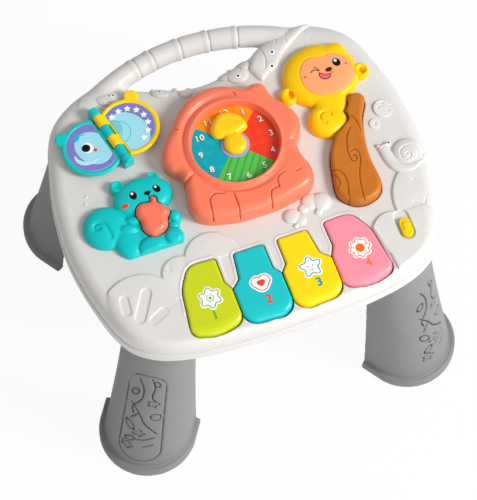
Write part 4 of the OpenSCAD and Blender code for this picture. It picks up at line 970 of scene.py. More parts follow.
def squirrel_form(x, y, z):
    top = SQUIRREL_TOP
    part = lumps(SQUIRREL, top, x, y, z)
    for px, py, rx, ry in SQUIRREL_EARS:
        ear = lobe(x, y, z, (px, py), (rx, ry), top - 2.0, 0, 3.0)
        ear = cut(ear, ball(x, y, z, (px, py + 0.6, top - 1.6), (rx - 2.2, ry - 2.0, 3.2)), 0.8)
        part["head"] = join(part["head"], ear, 0.8)
    for name, line, deep, wide in (("tail", SQUIRREL_CURL, 1.6, 2.0),
                                   ("hand", SQUIRREL_THUMB, 1.0, 0.7)):
        part[name] = part[name] + deep * np.exp(-(to_line(drawn(line), x, y) / wide) ** 2)
    chest = join(part["chest"], part["seat"], 2)
    form = join(part["tail"], join(chest, part["haunch"], 1.6), 0.9)
    for name, k in (("palm", 0.8), ("shoulder", 0.8), ("head", 0.6), ("hand", 0.6), ("arm", 0.7),
                    ("foot", 0.6), ("toes", 0.6)):
        form = join(form, part[name], k)
    form = np.maximum(form, SQUIRREL_FOOT_Y - y)
    form = cut(form, to_outline(ACORN_EDGE, x, y) - FIGURE_GAP, 0.7)
    return np.maximum(form, -z)


def acorn_form(x, y, z):
    form = pillow(to_outline(ACORN_EDGE, x, y), z, ACORN_TOP, 7.0, 6.0)
    return np.maximum(form, ACORN_BASE - z)


def squirrel_nose(x, y):
    nose = oval(x, y, (-89.0, -22.6), (3.5, 1.8), 8)
    nose = join(nose, oval(x, y, (-89.0, -23.9), (2.0, 1.6), 0), 1.0)
    return join(nose, bar(x, y, (-88.8, -24.5), (-88.4, -28.4), 0.5), 0.8)


def make_squirrel():
    x, y, z = axes = grid(-160, -58, -80, 7, -1, 13.5, 0.55)
    cast("squirrel_plate", axes, squirrel_form(x, y, z), "teal", 130000,
         "table", "teal_plastic", "squirrel")
    x, y, z = axes = grid(-109, -73, -69, -24, 2, 16, 0.5)
    cast("acorn", axes, acorn_form(x, y, z), "acorn", 40000,
         "acorn", "coral_plastic", "acorn_button")
    eye((-102.3, -20.9), (3.2, 4.3), squirrel_form, "squirrel_left_eye", 8, 8)
    eye((-79.4, -21.3), (3.1, 4.2), squirrel_form, "squirrel_right_eye", 8, 22)
    inlay("squirrel_nose", squirrel_form, squirrel_nose, (-94, -84, -30, -19, 8, 14),
          "ink_black", "table")
    inlay("squirrel_cheek", squirrel_form, spot((-112.8, -28.0), (3.7, 2.2), -2),
          (-118, -107, -32, -24, 2, 14), "ink_red", "table")


def eye(at, size, form, name, low, turn):
    """A dark oval eye with a white glint and a paler rim at its foot."""
    w, h = size
    box = (at[0] - w - 1.5, at[0] + w + 1.5, at[1] - h - 1.5, at[1] + h + 1.5, low, 15)
    glint = (at[0] - w * 0.18, at[1] + h * 0.48)
    for part, place, radii, slant, key, lift, fine in (
            ("_rim", at, (w + 0.45, h + 0.45), turn, "ink_slate", 0.12, 0.3),
            ("", at, (w, h), turn, "ink_black", 0.25, 0.25),
            ("_glint", glint, (w * 0.42, w * 0.46), 0.0, "ink_white", 0.38, 0.22)):
        inlay(name + part, form, spot(place, radii, slant), box, key, "table", lift, fine)


# ---------- monkey and trunk ----------
def face_distance(x, y):
    return to_outline(closed_curve(FACE, 5), x, y)


def monkey_head(x, y, z):
    return lobe(x, y, z, (HEAD[0] + 2.6, HEAD[1] - 1.3), (37.2, 33.6), MONKEY_TOP, 0, 2.4, 4.2)


# Lumps of the monkey, as for the squirrel.
MONKEY = {
    "tuft": ((HEAD[0] + 23.5, HEAD[1] + 16), (12, 10.5), 1, 35, 2.8, None),
    "body": ((106, 9), (15.8, 15), 2.2, 0, 3.4, None),
    "neck": ((108, 20), (18, 12), 3, 0, 2.8, None),
    "tail": ((96.2, -5.8), (18, 18), 1.2, 0, 3.0, None),
    "tip": ((106.5, -9), (9.6, 10.5), 2.6, 0, 3.0, None),
}
MONKEY_CURL = [(94, -10), (90.6, -7), (90.6, -1.6), (95, 1.6), (100, 0.4), (101.6, -3.4)]
# Each ear: its place, its radius and the middle of its hollow.
MONKEY_EARS = (((71.2, 31.2), 9.0, (74.3, 30.6)), ((145.2, 33.2), 8.6, (146.6, 32.8)))


def monkey_form(x, y, z):
    part = lumps(MONKEY, MONKEY_TOP, x, y, z)
    head = join(monkey_head(x, y, z), part["tuft"], 2.5)
    for at, r, hollow in MONKEY_EARS:
        ear = lobe(x, y, z, at, (r, r), 8.5, 0, 3.0)
        head = join(head, cut(ear, ball(x, y, z, (*hollow, 9.0), (r - 3.6, r - 3.2, 4.4)), 0.9), 0.6)
    tail = join(part["tail"], part["tip"], 2)
    tail = tail + 1.5 * np.exp(-(to_line(smooth_line(MONKEY_CURL), x, y) / 1.3) ** 2)
    form = join(join(join(part["body"], part["neck"], 4), tail, 1.0), head, 0.8)
    form = cut(form, to_outline(HOUSING_EDGE, x, y) - 0.4, 0.4)
    return np.maximum(form, -z)


def face_form(x, y, z):
    return np.maximum(monkey_head(x, y, z) - 0.15, face_distance(x, y))


def stroke(points, width):
    """A drawn line of that half width."""
    return lambda x, y: to_line(smooth_line(points), x, y) - width


def spot(place, radii, turn=0.0):
    """An oval spot."""
    return lambda x, y: oval(x, y, place, radii, turn)


def make_monkey():
    x, y, z = axes = grid(58, 156, -28, 79, -1, 13.5, 0.6)
    form = monkey_form(x, y, z)
    form = form + 0.5 * step(0.8 - face_distance(x, y), 0.6) * step(z - 4, 2)
    cast("monkey_plate", axes, form, "yellow", 130000, "table", "yellow_plastic", "monkey")
    x, y, z = axes = grid(86, 142, 12, 61, 2, 14, 0.45)
    face = np.maximum(face_form(x, y, z), -(monkey_head(x, y, z) + 1.4))
    cast("monkey_face_plate", axes, face, "peach", 50000, "table", "peach_plastic", "monkey_face")
    eye((125.6, 46.0), (3.5, 4.3), face_form, "monkey_eye", 7, 14)
    for name, mark, key, lift in (
            ("nose", spot((115.9, 41.0), (3.5, 2.1), 8), "ink_brown", 0.25),
            ("tongue", mouth, "ink_pink", 0.2),
            ("lip", lambda x, y: np.abs(mouth(x, y)) - 0.45, "ink_brown", 0.3),
            ("wink", stroke([(98.6, 43.2), (101, 44.9), (103.7, 44.7), (106.8, 42.4)], 0.45),
             "ink_brown", 0.22),
            ("lash", stroke([(103.3, 47.6), (105.6, 46.1), (106.8, 43.1)], 0.4), "ink_brown", 0.24),
            ("smile", stroke([(116.6, 38.6), (118, 36.9), (119.9, 36.8)], 0.3), "ink_brown", 0.2),
            ("left_cheek", spot((92.1, 40.7), (1.9, 0.9)), "ink_red", 0.2),
            ("right_cheek", spot((134.1, 42.3), (1.7, 0.8), -20), "ink_red", 0.2)):
        inlay(f"monkey_{name}", face_form, mark, (88, 138, 26, 52, 6, 14), key, "table", lift)
    for side, (*_, at) in zip(("left", "right"), MONKEY_EARS):
        inlay(f"monkey_{side}_hollow", monkey_form, spot(at, (2.6, 3.4), 20),
              (at[0] - 5, at[0] + 5, at[1] - 5, at[1] + 5, 0, 9.5), "hollow", "table", 0.1)


def mouth(x, y):
    """An open smile: an oval cut off by a gentle arc at its top."""
    c, s = math.cos(math.radians(-24)), math.sin(math.radians(-24))
    dx, dy = x - 110.6, y - 37.2
    u, v = dx * c + dy * s, -dx * s + dy * c
    bowl = (np.sqrt((u / 5.3) ** 2 + (v / 5.0) ** 2) - 1) * 5.0
    return np.maximum(bowl, v - 0.1 - 0.045 * u ** 2)


TRUNK_LINES = [
    [(113.5, -22.1), (108, -28.7), (104.4, -36.6), (101.6, -47.4), (102.7, -56.4), (106.6, -56.4),
     (107.2, -51.6), (104.7, -50.8)],
    [(103.8, -46.4), (108.4, -45.4), (111.2, -50), (110, -58), (106.6, -65), (102.9, -74.2), (100, -88),
     (98.6, -98)],
    [(118.6, -11), (120.8, -17), (121.6, -24), (121.2, -30)],
    [(82.4, -59.4), (86.4, -60.6), (90, -67), (90, -76), (87.2, -86), (85.4, -93)],
    [(81.8, -65), (83.6, -69), (82.6, -75), (79.4, -78.4)],
]


def trunk_body(x, y, z):
    form = pillow(to_outline(closed_curve(TRUNK, 6), x, y), z, TRUNK_TOP, 4.6, 3.6)
    for lump in ("body", "tail", "tip"):
        (px, py), (r, _) = MONKEY[lump][:2]
        form = cut(form, np.hypot(x - px, y - py) - r - 0.5, 0.4)
    return np.maximum(form, -6 - z)


def trunk_form(x, y, z):
    return trunk_body(x, y, z) + groove(x, y, TRUNK_LINES, 0.9)


def make_trunk():
    x, y, z = axes = grid(74, 143, -103, 15, -7, 12.5, 0.6)
    cast("trunk_key", axes, trunk_form(x, y, z), "brown", 90000,
         "trunk", "brown_plastic", "tree_trunk")
    # Painted shade: darker brown laid in the bottoms of the trunk's engraved lines, where shade falls.
    trace("bark_groove_shade", trunk_body, TRUNK_LINES, (1, 13), "trunk_line",
          "trunk", "brown_plastic", 0.3, -0.3)


# ---------- keys ----------
def key_form(k, x, y, z):
    line = KEYS[k]
    levels = []
    for level in z.ravel():
        s = min(max(1 - (KEY_TOP - float(level)) / FRONT_ROUND, 0.0), 1.0)
        p = FRONT_ROUND * (1 - math.sqrt(1 - s * s)) / FRONT_ZONE
        t = (y + KEY_FRONT) / FRONT_ZONE
        flat = np.where(t < 1, (t - p) / (1 - p), t) * FRONT_ZONE - KEY_FRONT
        d = to_outline(line, x[:, :, 0], flat[:, :, 0])
        levels.append(pillow(d, level, KEY_TOP, KEY_EDGE, KEY_EDGE))
    return np.maximum(np.stack(levels, 2), -KEY_SKIRT - z)


# Each key: its ink, the places of its sticker and number, and how bold the number is.
KEY_PRINTS = (("ink_green", (-69.2, -139.6), (-70.6, -157.6), 0.03),
              ("ink_red", (-19.8, -141.2), (-18.6, -159.0), 0.03),
              ("ink_teal", (28.9, -141.6), (31.0, -158.8), 0.03),
              ("ink_orange", (78.6, -139.2), (81.0, -156.4), 0.0))
KEY_NUMBER_SIZE = 12.0
# The wavy outline of a sticker: radius, wave, number of waves, first wave. The second one is a heart.
BADGES = ((9.4, 1.5, 6, 0.5), None, (8.8, 1.9, 5, 1.57), (9.2, 0.9, 8, 0.0))


def make_keys():
    for k, name in enumerate(KEY_NAMES):
        low, high = KEYS[k].min(0) - 2, KEYS[k].max(0) + 2
        x, y, z = axes = grid(low[0], high[0], low[1], high[1], -10, 3.5, 0.65)
        cast(f"{name}_key", axes, key_form(k, x, y, z), f"{name}_key", 60000,
             f"{name}_key", f"{name}_plastic", f"key_{name}")
        badge(k)
        ink, _, at, spread = KEY_PRINTS[k]
        numeral(f"{name}_number", k + 1, KEY_NUMBER_SIZE, Vector((*at, KEY_TOP)), 0.15, ink, spread,
                f"{name}_key")


def badge_shape(k, u, v):
    """Distance from the outline of a key's sticker."""
    if BADGES[k] is None:
        return heart(u, v)
    size, wave, count, start = BADGES[k]
    r = np.hypot(u, v)
    turn = count * (np.arctan2(v, u) - start)
    slope = wave * count * np.sin(turn) / np.maximum(r, 4)
    return (r - size - wave * np.cos(turn)) / np.sqrt(1 + slope ** 2)


def badge_sign(k, u, v):
    """Distance from the small sign in the middle of a key's sticker."""
    r = np.hypot(u, v)
    if k == 0:
        return np.minimum(np.abs(r - 3.3) - 0.4, r - 1.5)
    if k == 1:
        return heart(u * 2.3, v * 2.3) / 2.3
    if k == 2:
        eyes = [bar(u, v, (side * 3, 1.4), (side * 1.8, 0.4), 0.45) for side in (-1, 1)]
        smile = to_line(np.array([(-2, -2.6), (0, -3.5), (2, -2.6)]), u, v) - 0.4
        return np.minimum(np.minimum(*eyes), smile)
    petals = [np.hypot(u - 6.2 * math.cos(a), v - 6.2 * math.sin(a)) - 0.8
              for a in np.radians((18, 90, 162, 234, 306))]
    return np.minimum(r - 4.4, np.minimum.reduce(petals))


def badge(k):
    """A white sticker with a coloured edge and a simple sign of its own on each key."""
    ink, (px, py), _, _ = KEY_PRINTS[k]
    for part, mark, key, lift in (
            ("edge", lambda u, v: badge_shape(k, u, v) - 1.5, "ink_white", 0.12),
            ("line", lambda u, v: np.abs(badge_shape(k, u, v) + 0.4) - 0.55, ink, 0.2),
            ("sign", lambda u, v: badge_sign(k, u, v), ink, 0.2)):
        inlay(f"{KEY_NAMES[k]}_badge_{part}", lambda x, y, z: z - KEY_TOP + 0 * x + 0 * y,
              lambda x, y: mark(x - px, y - py), (px - 15, px + 15, py - 14, py + 14, 1.5, 3.2), key,
              f"{KEY_NAMES[k]}_key", lift)


def heart(u, v):
    """Distance from a rounded heart."""
    lobes = [oval(u, v, (side * 3.9, 2.0), (5.6, 5.2), -35 * side) for side in (-1, 1)]
    return join(join(*lobes, 1.0), oval(u, v, (0, -1.8), (6.2, 6.4)), 2.5)


# ---------- book ----------
def at_hinge(points):
    """Points given along the hinge (x), towards the right page (y) and up, on the deck."""
    c, s = math.cos(HINGE_TURN), math.sin(HINGE_TURN)
    p = np.asarray(points, float)
    return np.stack([p[:, 0] * c - p[:, 1] * s + HINGE[0], p[:, 0] * s + p[:, 1] * c + HINGE[1],
                     p[:, 2] + HINGE[2]], 1)


def knuckle(i, x, y, z):
    """A page's knuckle on the pin, and the strip that joins it to the page."""
    page = HINGE_LEN - 2 * POST_LEN - 2 * KNUCKLE_GAP
    size = (page - 3 * KNUCKLE_GAP) / 4
    start = POST_LEN + KNUCKLE_GAP + i * (size + KNUCKLE_GAP)
    slab = np.abs(x - start - size / 2) - size / 2
    tube = np.maximum(np.hypot(y, z) - KNUCKLE_R, slab)
    leaf = np.maximum(slab, np.abs(z + PAGE_DROP + PAGE_T / 2) - PAGE_T / 2)
    return tube, leaf


def window(side, x, y, room=0.0):
    """Distance from a page's opening for its picture."""
    return np.maximum(np.hypot(x - HINGE_LEN / 2, y - side * PAGE_MIDDLE) - PAGE_R + PAGE_FRAME + room,
                      PAGE_START + PAGE_FRAME / 2 + room - side * y)


def page_form(side, first, ear, x, y, z):
    out = np.hypot(x - HINGE_LEN / 2, y - side * PAGE_MIDDLE) - PAGE_R
    out = join(out, np.hypot(x - ear[0], y - side * ear[1]) - 7, 2.0)
    out = np.maximum(out, PAGE_START - side * y)
    ring = np.maximum(out, -window(side, x, y))
    mid = z + PAGE_DROP + PAGE_T / 2
    edge = 1.7
    face = np.abs(mid) - PAGE_T / 2
    q = np.sqrt(np.maximum(ring + edge, 0) ** 2 + np.maximum(face + edge, 0) ** 2) - edge
    form = np.where(np.maximum(ring, face) < -edge, -edge, q)
    for i in (first, first + 2):
        tube, leaf = knuckle(i, x, y, z)
        form = join(form, overlap(leaf, -side * y, side * y - PAGE_START - 1.5), 0.4)
        form = join(form, tube, 0.8)
    return form


# Each page: side, first knuckle, ear, range across the hinge, name, CAD node, body, finish, slot.
PAGES = (
    (-1, 1, (10, 40), (-53, 6), "teal_page", "left_page", "page_on_left", "book_teal", "teal_plastic"),
    (1, 0, (7, 39), (-6, 53), "yellow_page", "right_page", "page_on_right", "book_yellow",
     "yellow_plastic"),
)


def ground(side, *hole):
    """A page's window with an oval hole."""
    return lambda x, y: np.maximum(window(side, x, y), -oval(x, y, *hole))


def crescent(x, y):
    return np.maximum(oval(x, y, (38, -31), (11, 9), 60), -oval(x, y, (34.5, -27.5), (11.5, 9.5), 60))


def hills(x, y):
    outer, inner = oval(x, y, (33, 8), (12, 12)), oval(x, y, (30, 6), (8, 7))
    return np.minimum(np.abs(outer) - 0.3, np.abs(inner) - 0.25)


# The shapes printed on each page: side, name, finish, distance from the shape and how far it stands up.
PRINTS = (
    (-1, "left_ground", "lavender", ground(-1, (34, -20), (19, 15.5), 20), 0.12),
    (-1, "left_crescent", "ink_pale", crescent, 0.2),
    (-1, "left_eye_white", "ink_white", spot((30.6, -24.6), (5.8, 5.4)), 0.2),
    (-1, "left_eye", "ink_black", spot((30.4, -26.0), (4.1, 4.1)), 0.28),
    (-1, "left_cheek", "ink_red", spot((36.6, -19.5), (1.9, 1.9)), 0.2),
    (-1, "left_leaf", "ink_sky", spot((16.5, -28), (2.6, 4.4), 30), 0.2),
    (-1, "left_twig", "ink_sky", stroke([(15, -35), (14.6, -28), (17, -20)], 0.5), 0.18),
    (1, "right_band", "lavender", ground(1, (38, 16), (23, 19), 10), 0.12),
    (1, "right_hills", "ink_teal", hills, 0.2),
    (1, "right_pond", "ink_pond", spot((27, 8), (8.5, 7.5)), 0.16),
)


def make_book():
    for side, first, ear, (y0, y1), name, node_name, body, key, slot in PAGES:
        x, y, z = axes = grid(-1, 66, y0, y1, -6, 6, 0.5)
        cast(name, axes, page_form(side, first, ear, x, y, z), key, 60000,
             body, slot, node_name, place=at_hinge)
    posts()
    for side, name, key, mark, lift in PRINTS:
        picture(name, side, key, mark, lift)
    page_stars()


STAR_COUNT, STAR_ARC, STAR_FIRST, STAR_STEP = 8, 18.6, 206, 27
STAR_SIZES = {"Outer radius": 3.5 * MM, "Inner radius": 1.9 * MM, "Thickness": 0.45 * MM}


def page_stars():
    """White stars in an arc on the yellow page: one star, placed by instances on points."""
    points = []
    for i in range(STAR_COUNT):
        a = math.radians(STAR_FIRST - STAR_STEP * i)
        points.append((HINGE_LEN / 2 + STAR_ARC * math.cos(a),
                       PAGE_MIDDLE + STAR_ARC * math.sin(a), PRINT_Z))
    points = at_hinge(points)
    mesh = bpy.data.meshes.new("star_points")
    mesh.from_pydata([tuple(p * MM) for p in points + DECK], [], [])
    carrier = placed("star_points", mesh)
    group = bpy.data.node_groups.new("instance_stars", "GeometryNodeTree")
    face = group.interface
    face.new_socket("Geometry", in_out="INPUT", socket_type="NodeSocketGeometry")
    sizes = {name: face.new_socket(name, in_out="INPUT", socket_type="NodeSocketFloat")
             for name in STAR_SIZES}
    face.new_socket("Geometry", in_out="OUTPUT", socket_type="NodeSocketGeometry")
    given = node(group, "NodeGroupInput").outputs
    radii = {"Outer Radius": given["Outer radius"], "Inner Radius": given["Inner radius"], "Points": 5}
    star = node(group, "GeometryNodeCurveStar", radii).outputs["Curve"]
    fill = node(group, "GeometryNodeFillCurve", {"Curve": star}, mode="NGONS").outputs["Mesh"]
    inputs = {"Mesh": fill, "Offset Scale": given["Thickness"]}
    solid = node(group, "GeometryNodeExtrudeMesh", inputs).outputs["Mesh"]
    inputs = {"Points": given["Geometry"], "Instance": solid}
    stars = node(group, "GeometryNodeInstanceOnPoints", inputs).outputs["Instances"]
    real = node(group, "GeometryNodeRealizeInstances", {"Geometry": stars}).outputs["Geometry"]
    inputs = {"Geometry": real, "Material": finish("ink_white")}
    painted = node(group, "GeometryNodeSetMaterial", inputs).outputs["Geometry"]
    node(group, "NodeGroupOutput", {"Geometry": painted})
    modifier = carrier.modifiers.new("stars", "NODES")
    modifier.node_group = group
    for name, socket in sizes.items():
        modifier[socket.identifier] = STAR_SIZES[name]
    applied(carrier).name = "page_stars"
    fit(carrier, "page_on_right", "printed_film")


def picture(name, side, key, mark, lift):
    """A printed shape on the upper face of a page's picture."""
    y0, y1 = (-48, -5) if side < 0 else (5, 48)
    x, y, z = axes = grid(6, 61, y0, y1, PRINT_Z - 1, PRINT_Z + 1, (0.4, 0.4, 0.25))
    values = overlap(mark(x, y), window(side, x, y, 0.2), z - PRINT_Z - lift, PRINT_Z - 0.4 - z)
    body = "page_on_left" if side < 0 else "page_on_right"
    cast(name, axes, values, key, 9000, body, "printed_film", place=at_hinge)


def posts():
    x, y, z = axes = grid(-1, 67, -6.5, 6.5, -10, 6, 0.5)
    values = np.full(np.broadcast_shapes(x.shape, y.shape, z.shape), 1e3, np.float32)
    for start in (0, HINGE_LEN - POST_LEN):
        slab = np.abs(x - start - POST_LEN / 2) - POST_LEN / 2
        block = overlap(slab, np.abs(y) - KNUCKLE_R - 0.5, z)
        form = join(np.maximum(slab, np.hypot(y, z) - KNUCKLE_R - 0.5), block, 0.5)
        values = np.minimum(values, form)
    values = np.maximum(values, -HINGE[2] - z)
    cast("hinge_posts", axes, values, "book_teal", 16000,
         "table", "teal_plastic", "book_posts", place=at_hinge)


# ---------- switch ----------
def make_switch():
    x, y, z = axes = grid(118, 134, -148, -122, -1, 9, 0.45)
    base = pillow(bar(x, y, (126, -139.5), (126, -130.5), 5.5), z, 5.9, 1.6, 1.4)
    grip = pillow(bar(x, y, (126, -137), (126, -133), 3.0), z, 7.1, 1.2, 1.2)
    form = np.maximum(join(base, grip, 0.5), 1.0 - z)
    cast("switch_button", axes, form, "yellow", 20000, "switch", "yellow_plastic", "switch_knob")


# ---------- legs ----------
LEG_FRAME = [(-23, 20, 20.9), (20.5, 20, 20.9), (20.5, 187, 20.9), (-23, 187, 20.9)]
LEG_STEMS = [[(-10, 178), (-4, 160), (-5, 140), (-14, 120), (-12, 108)],
             [(4, 182), (8, 165), (6, 148), (10, 138)],
             [(-16, 128), (-6, 112), (0, 96), (8, 84), (14, 76)], [(-6, 112), (-14, 98)],
             [(-8, 60), (2, 62), (12, 68)], [(2, 48), (12, 54)]]
# Each leaf: its place, its radii and its turn.
LEG_LEAVES = (((-13, 150), (3.6, 6.5), -25), ((12, 108), (5.5, 6), 10), ((-14, 84), (4, 8), 30),
              ((-12, 58), (3.6, 6), -40), ((10, 172), (3, 5), 20))
LEG_FLOWERS = ((8, 134), (-14, 44), (-4, 74))


def leg_emboss(outline):
    """Depth of the panel's engraved lines: across the leg (mm) by height (mm), two steps to a mm."""
    s = np.arange(-40, 40.5, 0.5)[:, None]
    t = np.arange(0, 226, 0.5)[None, :]
    h = np.zeros((161, 452), np.float32)

    def engrave(d, deep, wide):
        cut_in = deep * np.exp(-(np.abs(d) / wide) ** 4) * (h > -deep * 0.5)
        h[:] = h - cut_in + 0.3 * np.exp(-((np.abs(d) - wide * 1.9) / 0.7) ** 2)

    if outline:
        engrave(to_outline(round_corners(LEG_FRAME, 12), s, t), 0.9, 1.2)
    for line in LEG_STEMS:
        engrave(to_line(smooth_line(line), s, t), 1.0, 1.3)
    for leaf in LEG_LEAVES:
        engrave(oval(s, t, *leaf), 1.0, 1.1)
    for x, y in LEG_FLOWERS:
        r, a = np.hypot(s - x, t - y), np.arctan2(t - y, s - x)
        engrave((r - 5.2 - 1.5 * np.cos(5 * a)) * 0.7, 1.0, 1.0)
        engrave(r - 1.2, 0.7, 0.7)
    return h


def leg_side(z):
    """How far behind the foot's middle a leg's open side lies at a height."""
    return SIDE_LOW + (SIDE_TOP - SIDE_LOW) * np.clip(z / LEG_H, 0, 1)


def leg_form(x, y, z, emboss):
    """A leg in its own frame: X faces outwards, the foot's middle is at the origin."""
    r = leg_radius(z)
    rho = np.where(x > 0, np.hypot(x, y), np.abs(y))
    wall = np.maximum(rho - r, -(rho - r + LEG_WALL))
    if emboss is not None:
        wall = np.maximum(wall, rho - r - leg_relief(x, y, z, emboss))
    return np.maximum(wall, -leg_side(z) - x)


def leg_radius(z):
    return LEG_R_TOP + (LEG_R_LOW - LEG_R_TOP) * (1 - np.clip(z / LEG_H, 0, 1)) ** 1.5


def leg_relief(x, y, z, emboss):
    """The panel's lines, wrapped round the leg."""
    across = np.where(x > 0, np.arctan2(y, x) * 40.0, 1e3)
    i = np.clip(np.round((across + 40) * 2), 0, emboss.shape[0] - 1).astype(int)
    k = np.clip(np.round(np.clip(z, 0, 225) * 2), 0, emboss.shape[1] - 1).astype(int)
    return emboss[i, np.broadcast_to(k, i.shape)] * (np.abs(across) < 39)


def leg_lines(x, y, z, emboss):
    """Painted shade: thin dark bands at the bottom of the panel's lines, where shade falls."""
    depth = np.hypot(x, y) - leg_radius(z)
    return overlap(depth + 0.55, -depth - 1.2, (leg_relief(x, y, z, emboss) + 0.4) * 2)


def make_leg(name, emboss, fine):
    fx, fy, tx, ty, face = LEGS[name]
    a = math.radians(face)
    c, s = math.cos(a), math.sin(a)
    reach = FOOT_R + 4
    lean = np.array(((tx - fx) * c + (ty - fy) * s, -(tx - fx) * s + (ty - fy) * c)) / LEG_H
    x, y, z = axes = grid(-SIDE_LOW - 26, reach, -reach - 8, reach + 8, -1, LEG_H + 11,
                          (fine, fine, 1.0))
    form = leg_form(x - lean[0] * z, y - lean[1] * z, z, emboss)
    form = np.maximum(form, z - LEG_H)
    rim = np.where(x > 0, np.hypot(x, y), np.abs(y))
    band = np.maximum(pillow(rim - FOOT_R, z, FOOT_RIM_H, 3.2, 3.0), -(rim - LEG_R_LOW + LEG_WALL + 1))
    form = join(form, np.maximum(band, -SIDE_LOW - x), 1.2)
    ux, uy = x - lean[0] * LEG_H, y - lean[1] * LEG_H
    top = np.where(ux > 0, np.hypot(ux, uy), np.abs(uy))
    cap = overlap(top - LEG_R_TOP + 1.5, np.abs(z - LEG_H + 1.5) - 1.5, -SIDE_TOP - ux)
    plug = overlap(np.abs(top - LEG_R_TOP + 3) - 1.2, np.abs(z - LEG_H - 4) - 6, -SIDE_TOP - ux)
    form = np.minimum(form, np.minimum(cap, plug))
    form = np.maximum(form, -z)

    def stand(points):
        px, py, pz = points.T
        return np.stack([px * c - py * s + fx, px * s + py * c + fy, pz], 1)

    cast(f"{name}_moulding", axes, form, "grey", 40000 if emboss is None else 100000,
         "table", "grey_plastic", name, place=stand, origin=GROUND)
    if emboss is not None:
        # Painted shade: dark grey bands in the bottoms of the panel's engraved lines.
        x, y, z = axes = grid(15, reach, -38, 38, 12, 195, (0.6, 0.6, 0.8))
        lines = leg_lines(x - lean[0] * z, y - lean[1] * z, z, emboss)
        cast(f"{name}_lines", axes, lines, "leg_shade_in_grooves", 50000,
             "table", "grey_plastic", place=stand, origin=GROUND)


def make_legs():
    for name in LEGS:
        front = "front" in name
        make_leg(name, leg_emboss("left" in name) if front else None, 0.75 if front else 1.0)


# ---------- CAD nodes that keep their shape ----------
KEPT = {
    "white": ("bottom_shell", "battery_door"),
    "hub": ("hub_ring",),
    "dial": ("dial_face",),
    "sky": ("left_picture", "right_picture"),
    "black": ("rotor_disc", "speaker", "slide_switch"),
    "steel": ("rotor_screw", "door_screw", "shell_screws", "housing_screws", "board_screws",
              "trunk_pin", "book_pin", "key_rod", "battery_contacts"),
    "cell": ("batteries",),
    "board": ("left_board", "right_board", "circuit_board"),
    "rubber": ("acorn_dome", "trunk_dome", *(f"key_{name}_dome" for name in KEY_NAMES)),
}


def dress_kept_nodes():
    for key, nodes in KEPT.items():
        for name in nodes:
            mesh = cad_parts[name].data
            mesh.materials.clear()
            mesh.materials.append(finish(key))


# ---------- stage ----------
CAMERA_AT = (-0.43199, -1.16866, 2.76486)
CAMERA_TURN = (24.91609, -0.10443, -20.12466)
CAMERA_LENS, CAMERA_SENSOR = 214.49, 36.0
FLOOR_HALF, FLOOR_DROP = 9.0, 0.0004
FLOOR_GLOW = 0.93
# Each lamp: its place, what it looks at, its size and its share of the key light's power.
LAMPS = {
    "key_lamp": ((1.65, -1.35, 2.0), (0.0, -0.03, 0.2), 1.0, 1.0),
    "front_lamp": ((0.3, -2.6, 1.1), (0.0, 0.0, 0.2), 1.5, 0.24),
}


def make_stage():
    """Camera, floor, lamps and the light from all round."""
    scene = bpy.context.scene
    camera = placed("camera", bpy.data.cameras.new("camera"))
    camera.location = CAMERA_AT
    camera.rotation_euler = Euler([math.radians(a) for a in CAMERA_TURN])
    camera.data.lens = CAMERA_LENS
    camera.data.sensor_width = CAMERA_SENSOR
    camera.data.clip_end = 100.0
    scene.camera = camera
    sheet = bpy.data.meshes.new("floor")
    corners = [(FLOOR_HALF * x, FLOOR_HALF * y, -FLOOR_DROP)
               for x, y in ((-1, -1), (1, -1), (1, 1), (-1, 1))]
    sheet.from_pydata(corners, [], [(0, 1, 2, 3)])
    sheet.materials.append(pale_floor())
    floor = placed("floor", sheet)
    for name, (place, aim, size, share) in LAMPS.items():
        data = bpy.data.lights.new(name, "AREA")
        data.shape = "DISK"
        data.size = size
        data.energy = looks().key_light * share
        lamp = placed(name, data)
        lamp.location = place
        lamp.rotation_euler = (Vector(aim) - Vector(place)).to_track_quat("-Z", "Y").to_euler()
    world = bpy.data.worlds.new("world")
    scene.world = world
    world.use_nodes = True
    tree = world.node_tree
    back = tree.nodes["Background"]
    back.inputs["Color"].default_value = (1, 1, 1, 1)
    light = node(tree, "ShaderNodeLightPath").outputs
    seen = maths(tree, "MAXIMUM", light["Is Camera Ray"], light["Is Transmission Ray"])
    wire(tree, back, {"Strength": mapped(tree, seen, 0.0, 1.0, looks().fill_light, 1.0)})
    scene.view_settings.view_transform = "Standard"


def pale_floor():
    """White floor: its shadow stays, and the camera sees it nearly white."""
    material = bpy.data.materials.new("pale_floor")
    material.use_nodes = True
    tree = material.node_tree
    shader = tree.nodes["Principled BSDF"]
    wire(tree, shader, {"Base Color": (0.9, 0.9, 0.9, 1), "Roughness": 0.9})
    glow = node(tree, "ShaderNodeEmission", {"Strength": 1.0})
    seen = node(tree, "ShaderNodeLightPath").outputs["Is Camera Ray"]
    share = maths(tree, "MULTIPLY", seen, FLOOR_GLOW)
    mix = node(tree, "ShaderNodeMixShader", {0: share, 1: shader.outputs[0], 2: glow.outputs[0]})
    wire(tree, tree.nodes["Material Output"], {"Surface": mix.outputs[0]})
    return material


# ---------- operators ----------
class Maker:
    """What the operators share: each runs its steps."""
    steps = ()

    def execute(self, context):
        for make in self.steps:
            make()
        return {"FINISHED"}


class MakeStage(Maker, bpy.types.Operator):
    """Camera, floor and soft lights"""
    bl_idname, bl_label = "table.make_stage", "Stage"
    steps = (make_stage,)


class MakeShell(Maker, bpy.types.Operator):
    """Upper shell with its relief and handle"""
    bl_idname, bl_label = "table.make_shell", "Upper shell"
    steps = (make_upper_shell,)


class MakeClock(Maker, bpy.types.Operator):
    """Clock housing, dial numbers and hand"""
    bl_idname, bl_label = "table.make_clock", "Clock"
    steps = (make_clock, make_hand)


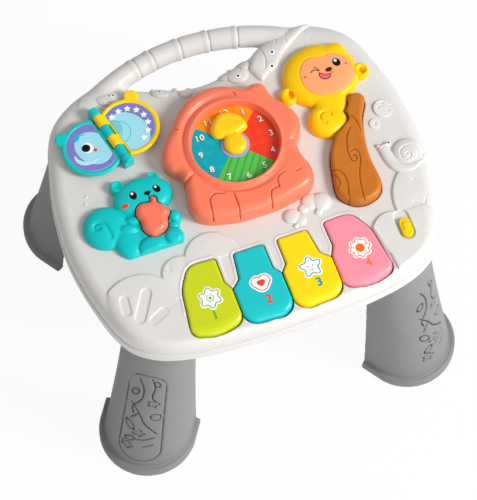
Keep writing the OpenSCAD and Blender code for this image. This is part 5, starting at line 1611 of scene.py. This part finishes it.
class MakeSquirrel(Maker, bpy.types.Operator):
    """Squirrel with its acorn button"""
    bl_idname, bl_label = "table.make_squirrel", "Squirrel"
    steps = (make_squirrel,)


class MakeMonkey(Maker, bpy.types.Operator):
    """Monkey and its tree trunk"""
    bl_idname, bl_label = "table.make_monkey", "Monkey and trunk"
    steps = (make_monkey, make_trunk)


class MakeKeys(Maker, bpy.types.Operator):
    """The four piano keys with their stickers"""
    bl_idname, bl_label = "table.make_keys", "Keys"
    steps = (make_keys,)


class MakeBook(Maker, bpy.types.Operator):
    """The book's pages, posts and pictures"""
    bl_idname, bl_label = "table.make_book", "Book"
    steps = (make_book,)


class MakeSwitch(Maker, bpy.types.Operator):
    """The knob of the slide switch"""
    bl_idname, bl_label = "table.make_switch", "Switch"
    steps = (make_switch,)


class MakeLegs(Maker, bpy.types.Operator):
    """The four legs with their raised panels"""
    bl_idname, bl_label = "table.make_legs", "Legs"
    steps = (make_legs,)


class DressNodes(Maker, bpy.types.Operator):
    """Finishes for the pieces that keep their CAD shape"""
    bl_idname, bl_label = "table.dress_nodes", "Plain pieces"
    steps = (dress_kept_nodes,)


class TablePanel(bpy.types.Panel):
    """Lists the pieces and their colours"""
    bl_idname = "VIEW3D_PT_activity_table"
    bl_label = "Activity table"
    bl_space_type = "VIEW_3D"
    bl_region_type = "UI"
    bl_category = "Table"

    def draw(self, context):
        for name in TableLooks.__annotations__:
            self.layout.prop(context.scene.activity_table, name)
        for operator in OPERATORS:
            self.layout.operator(operator.bl_idname)


OPERATORS = (MakeStage, MakeShell, MakeClock, MakeSquirrel, MakeMonkey, MakeKeys, MakeBook,
             MakeSwitch, MakeLegs, DressNodes)
CLASSES = (TableLooks, *OPERATORS, TablePanel)


def register():
    for cls in CLASSES:
        bpy.utils.register_class(cls)
    bpy.types.Scene.activity_table = bpy.props.PointerProperty(type=TableLooks)


def unregister():
    del bpy.types.Scene.activity_table
    for cls in reversed(CLASSES):
        bpy.utils.unregister_class(cls)


def main():
    register()
    for operator in OPERATORS:
        group, name = operator.bl_idname.split(".")
        getattr(getattr(bpy.ops, group), name)()


if __name__ == "__main__":
    main()
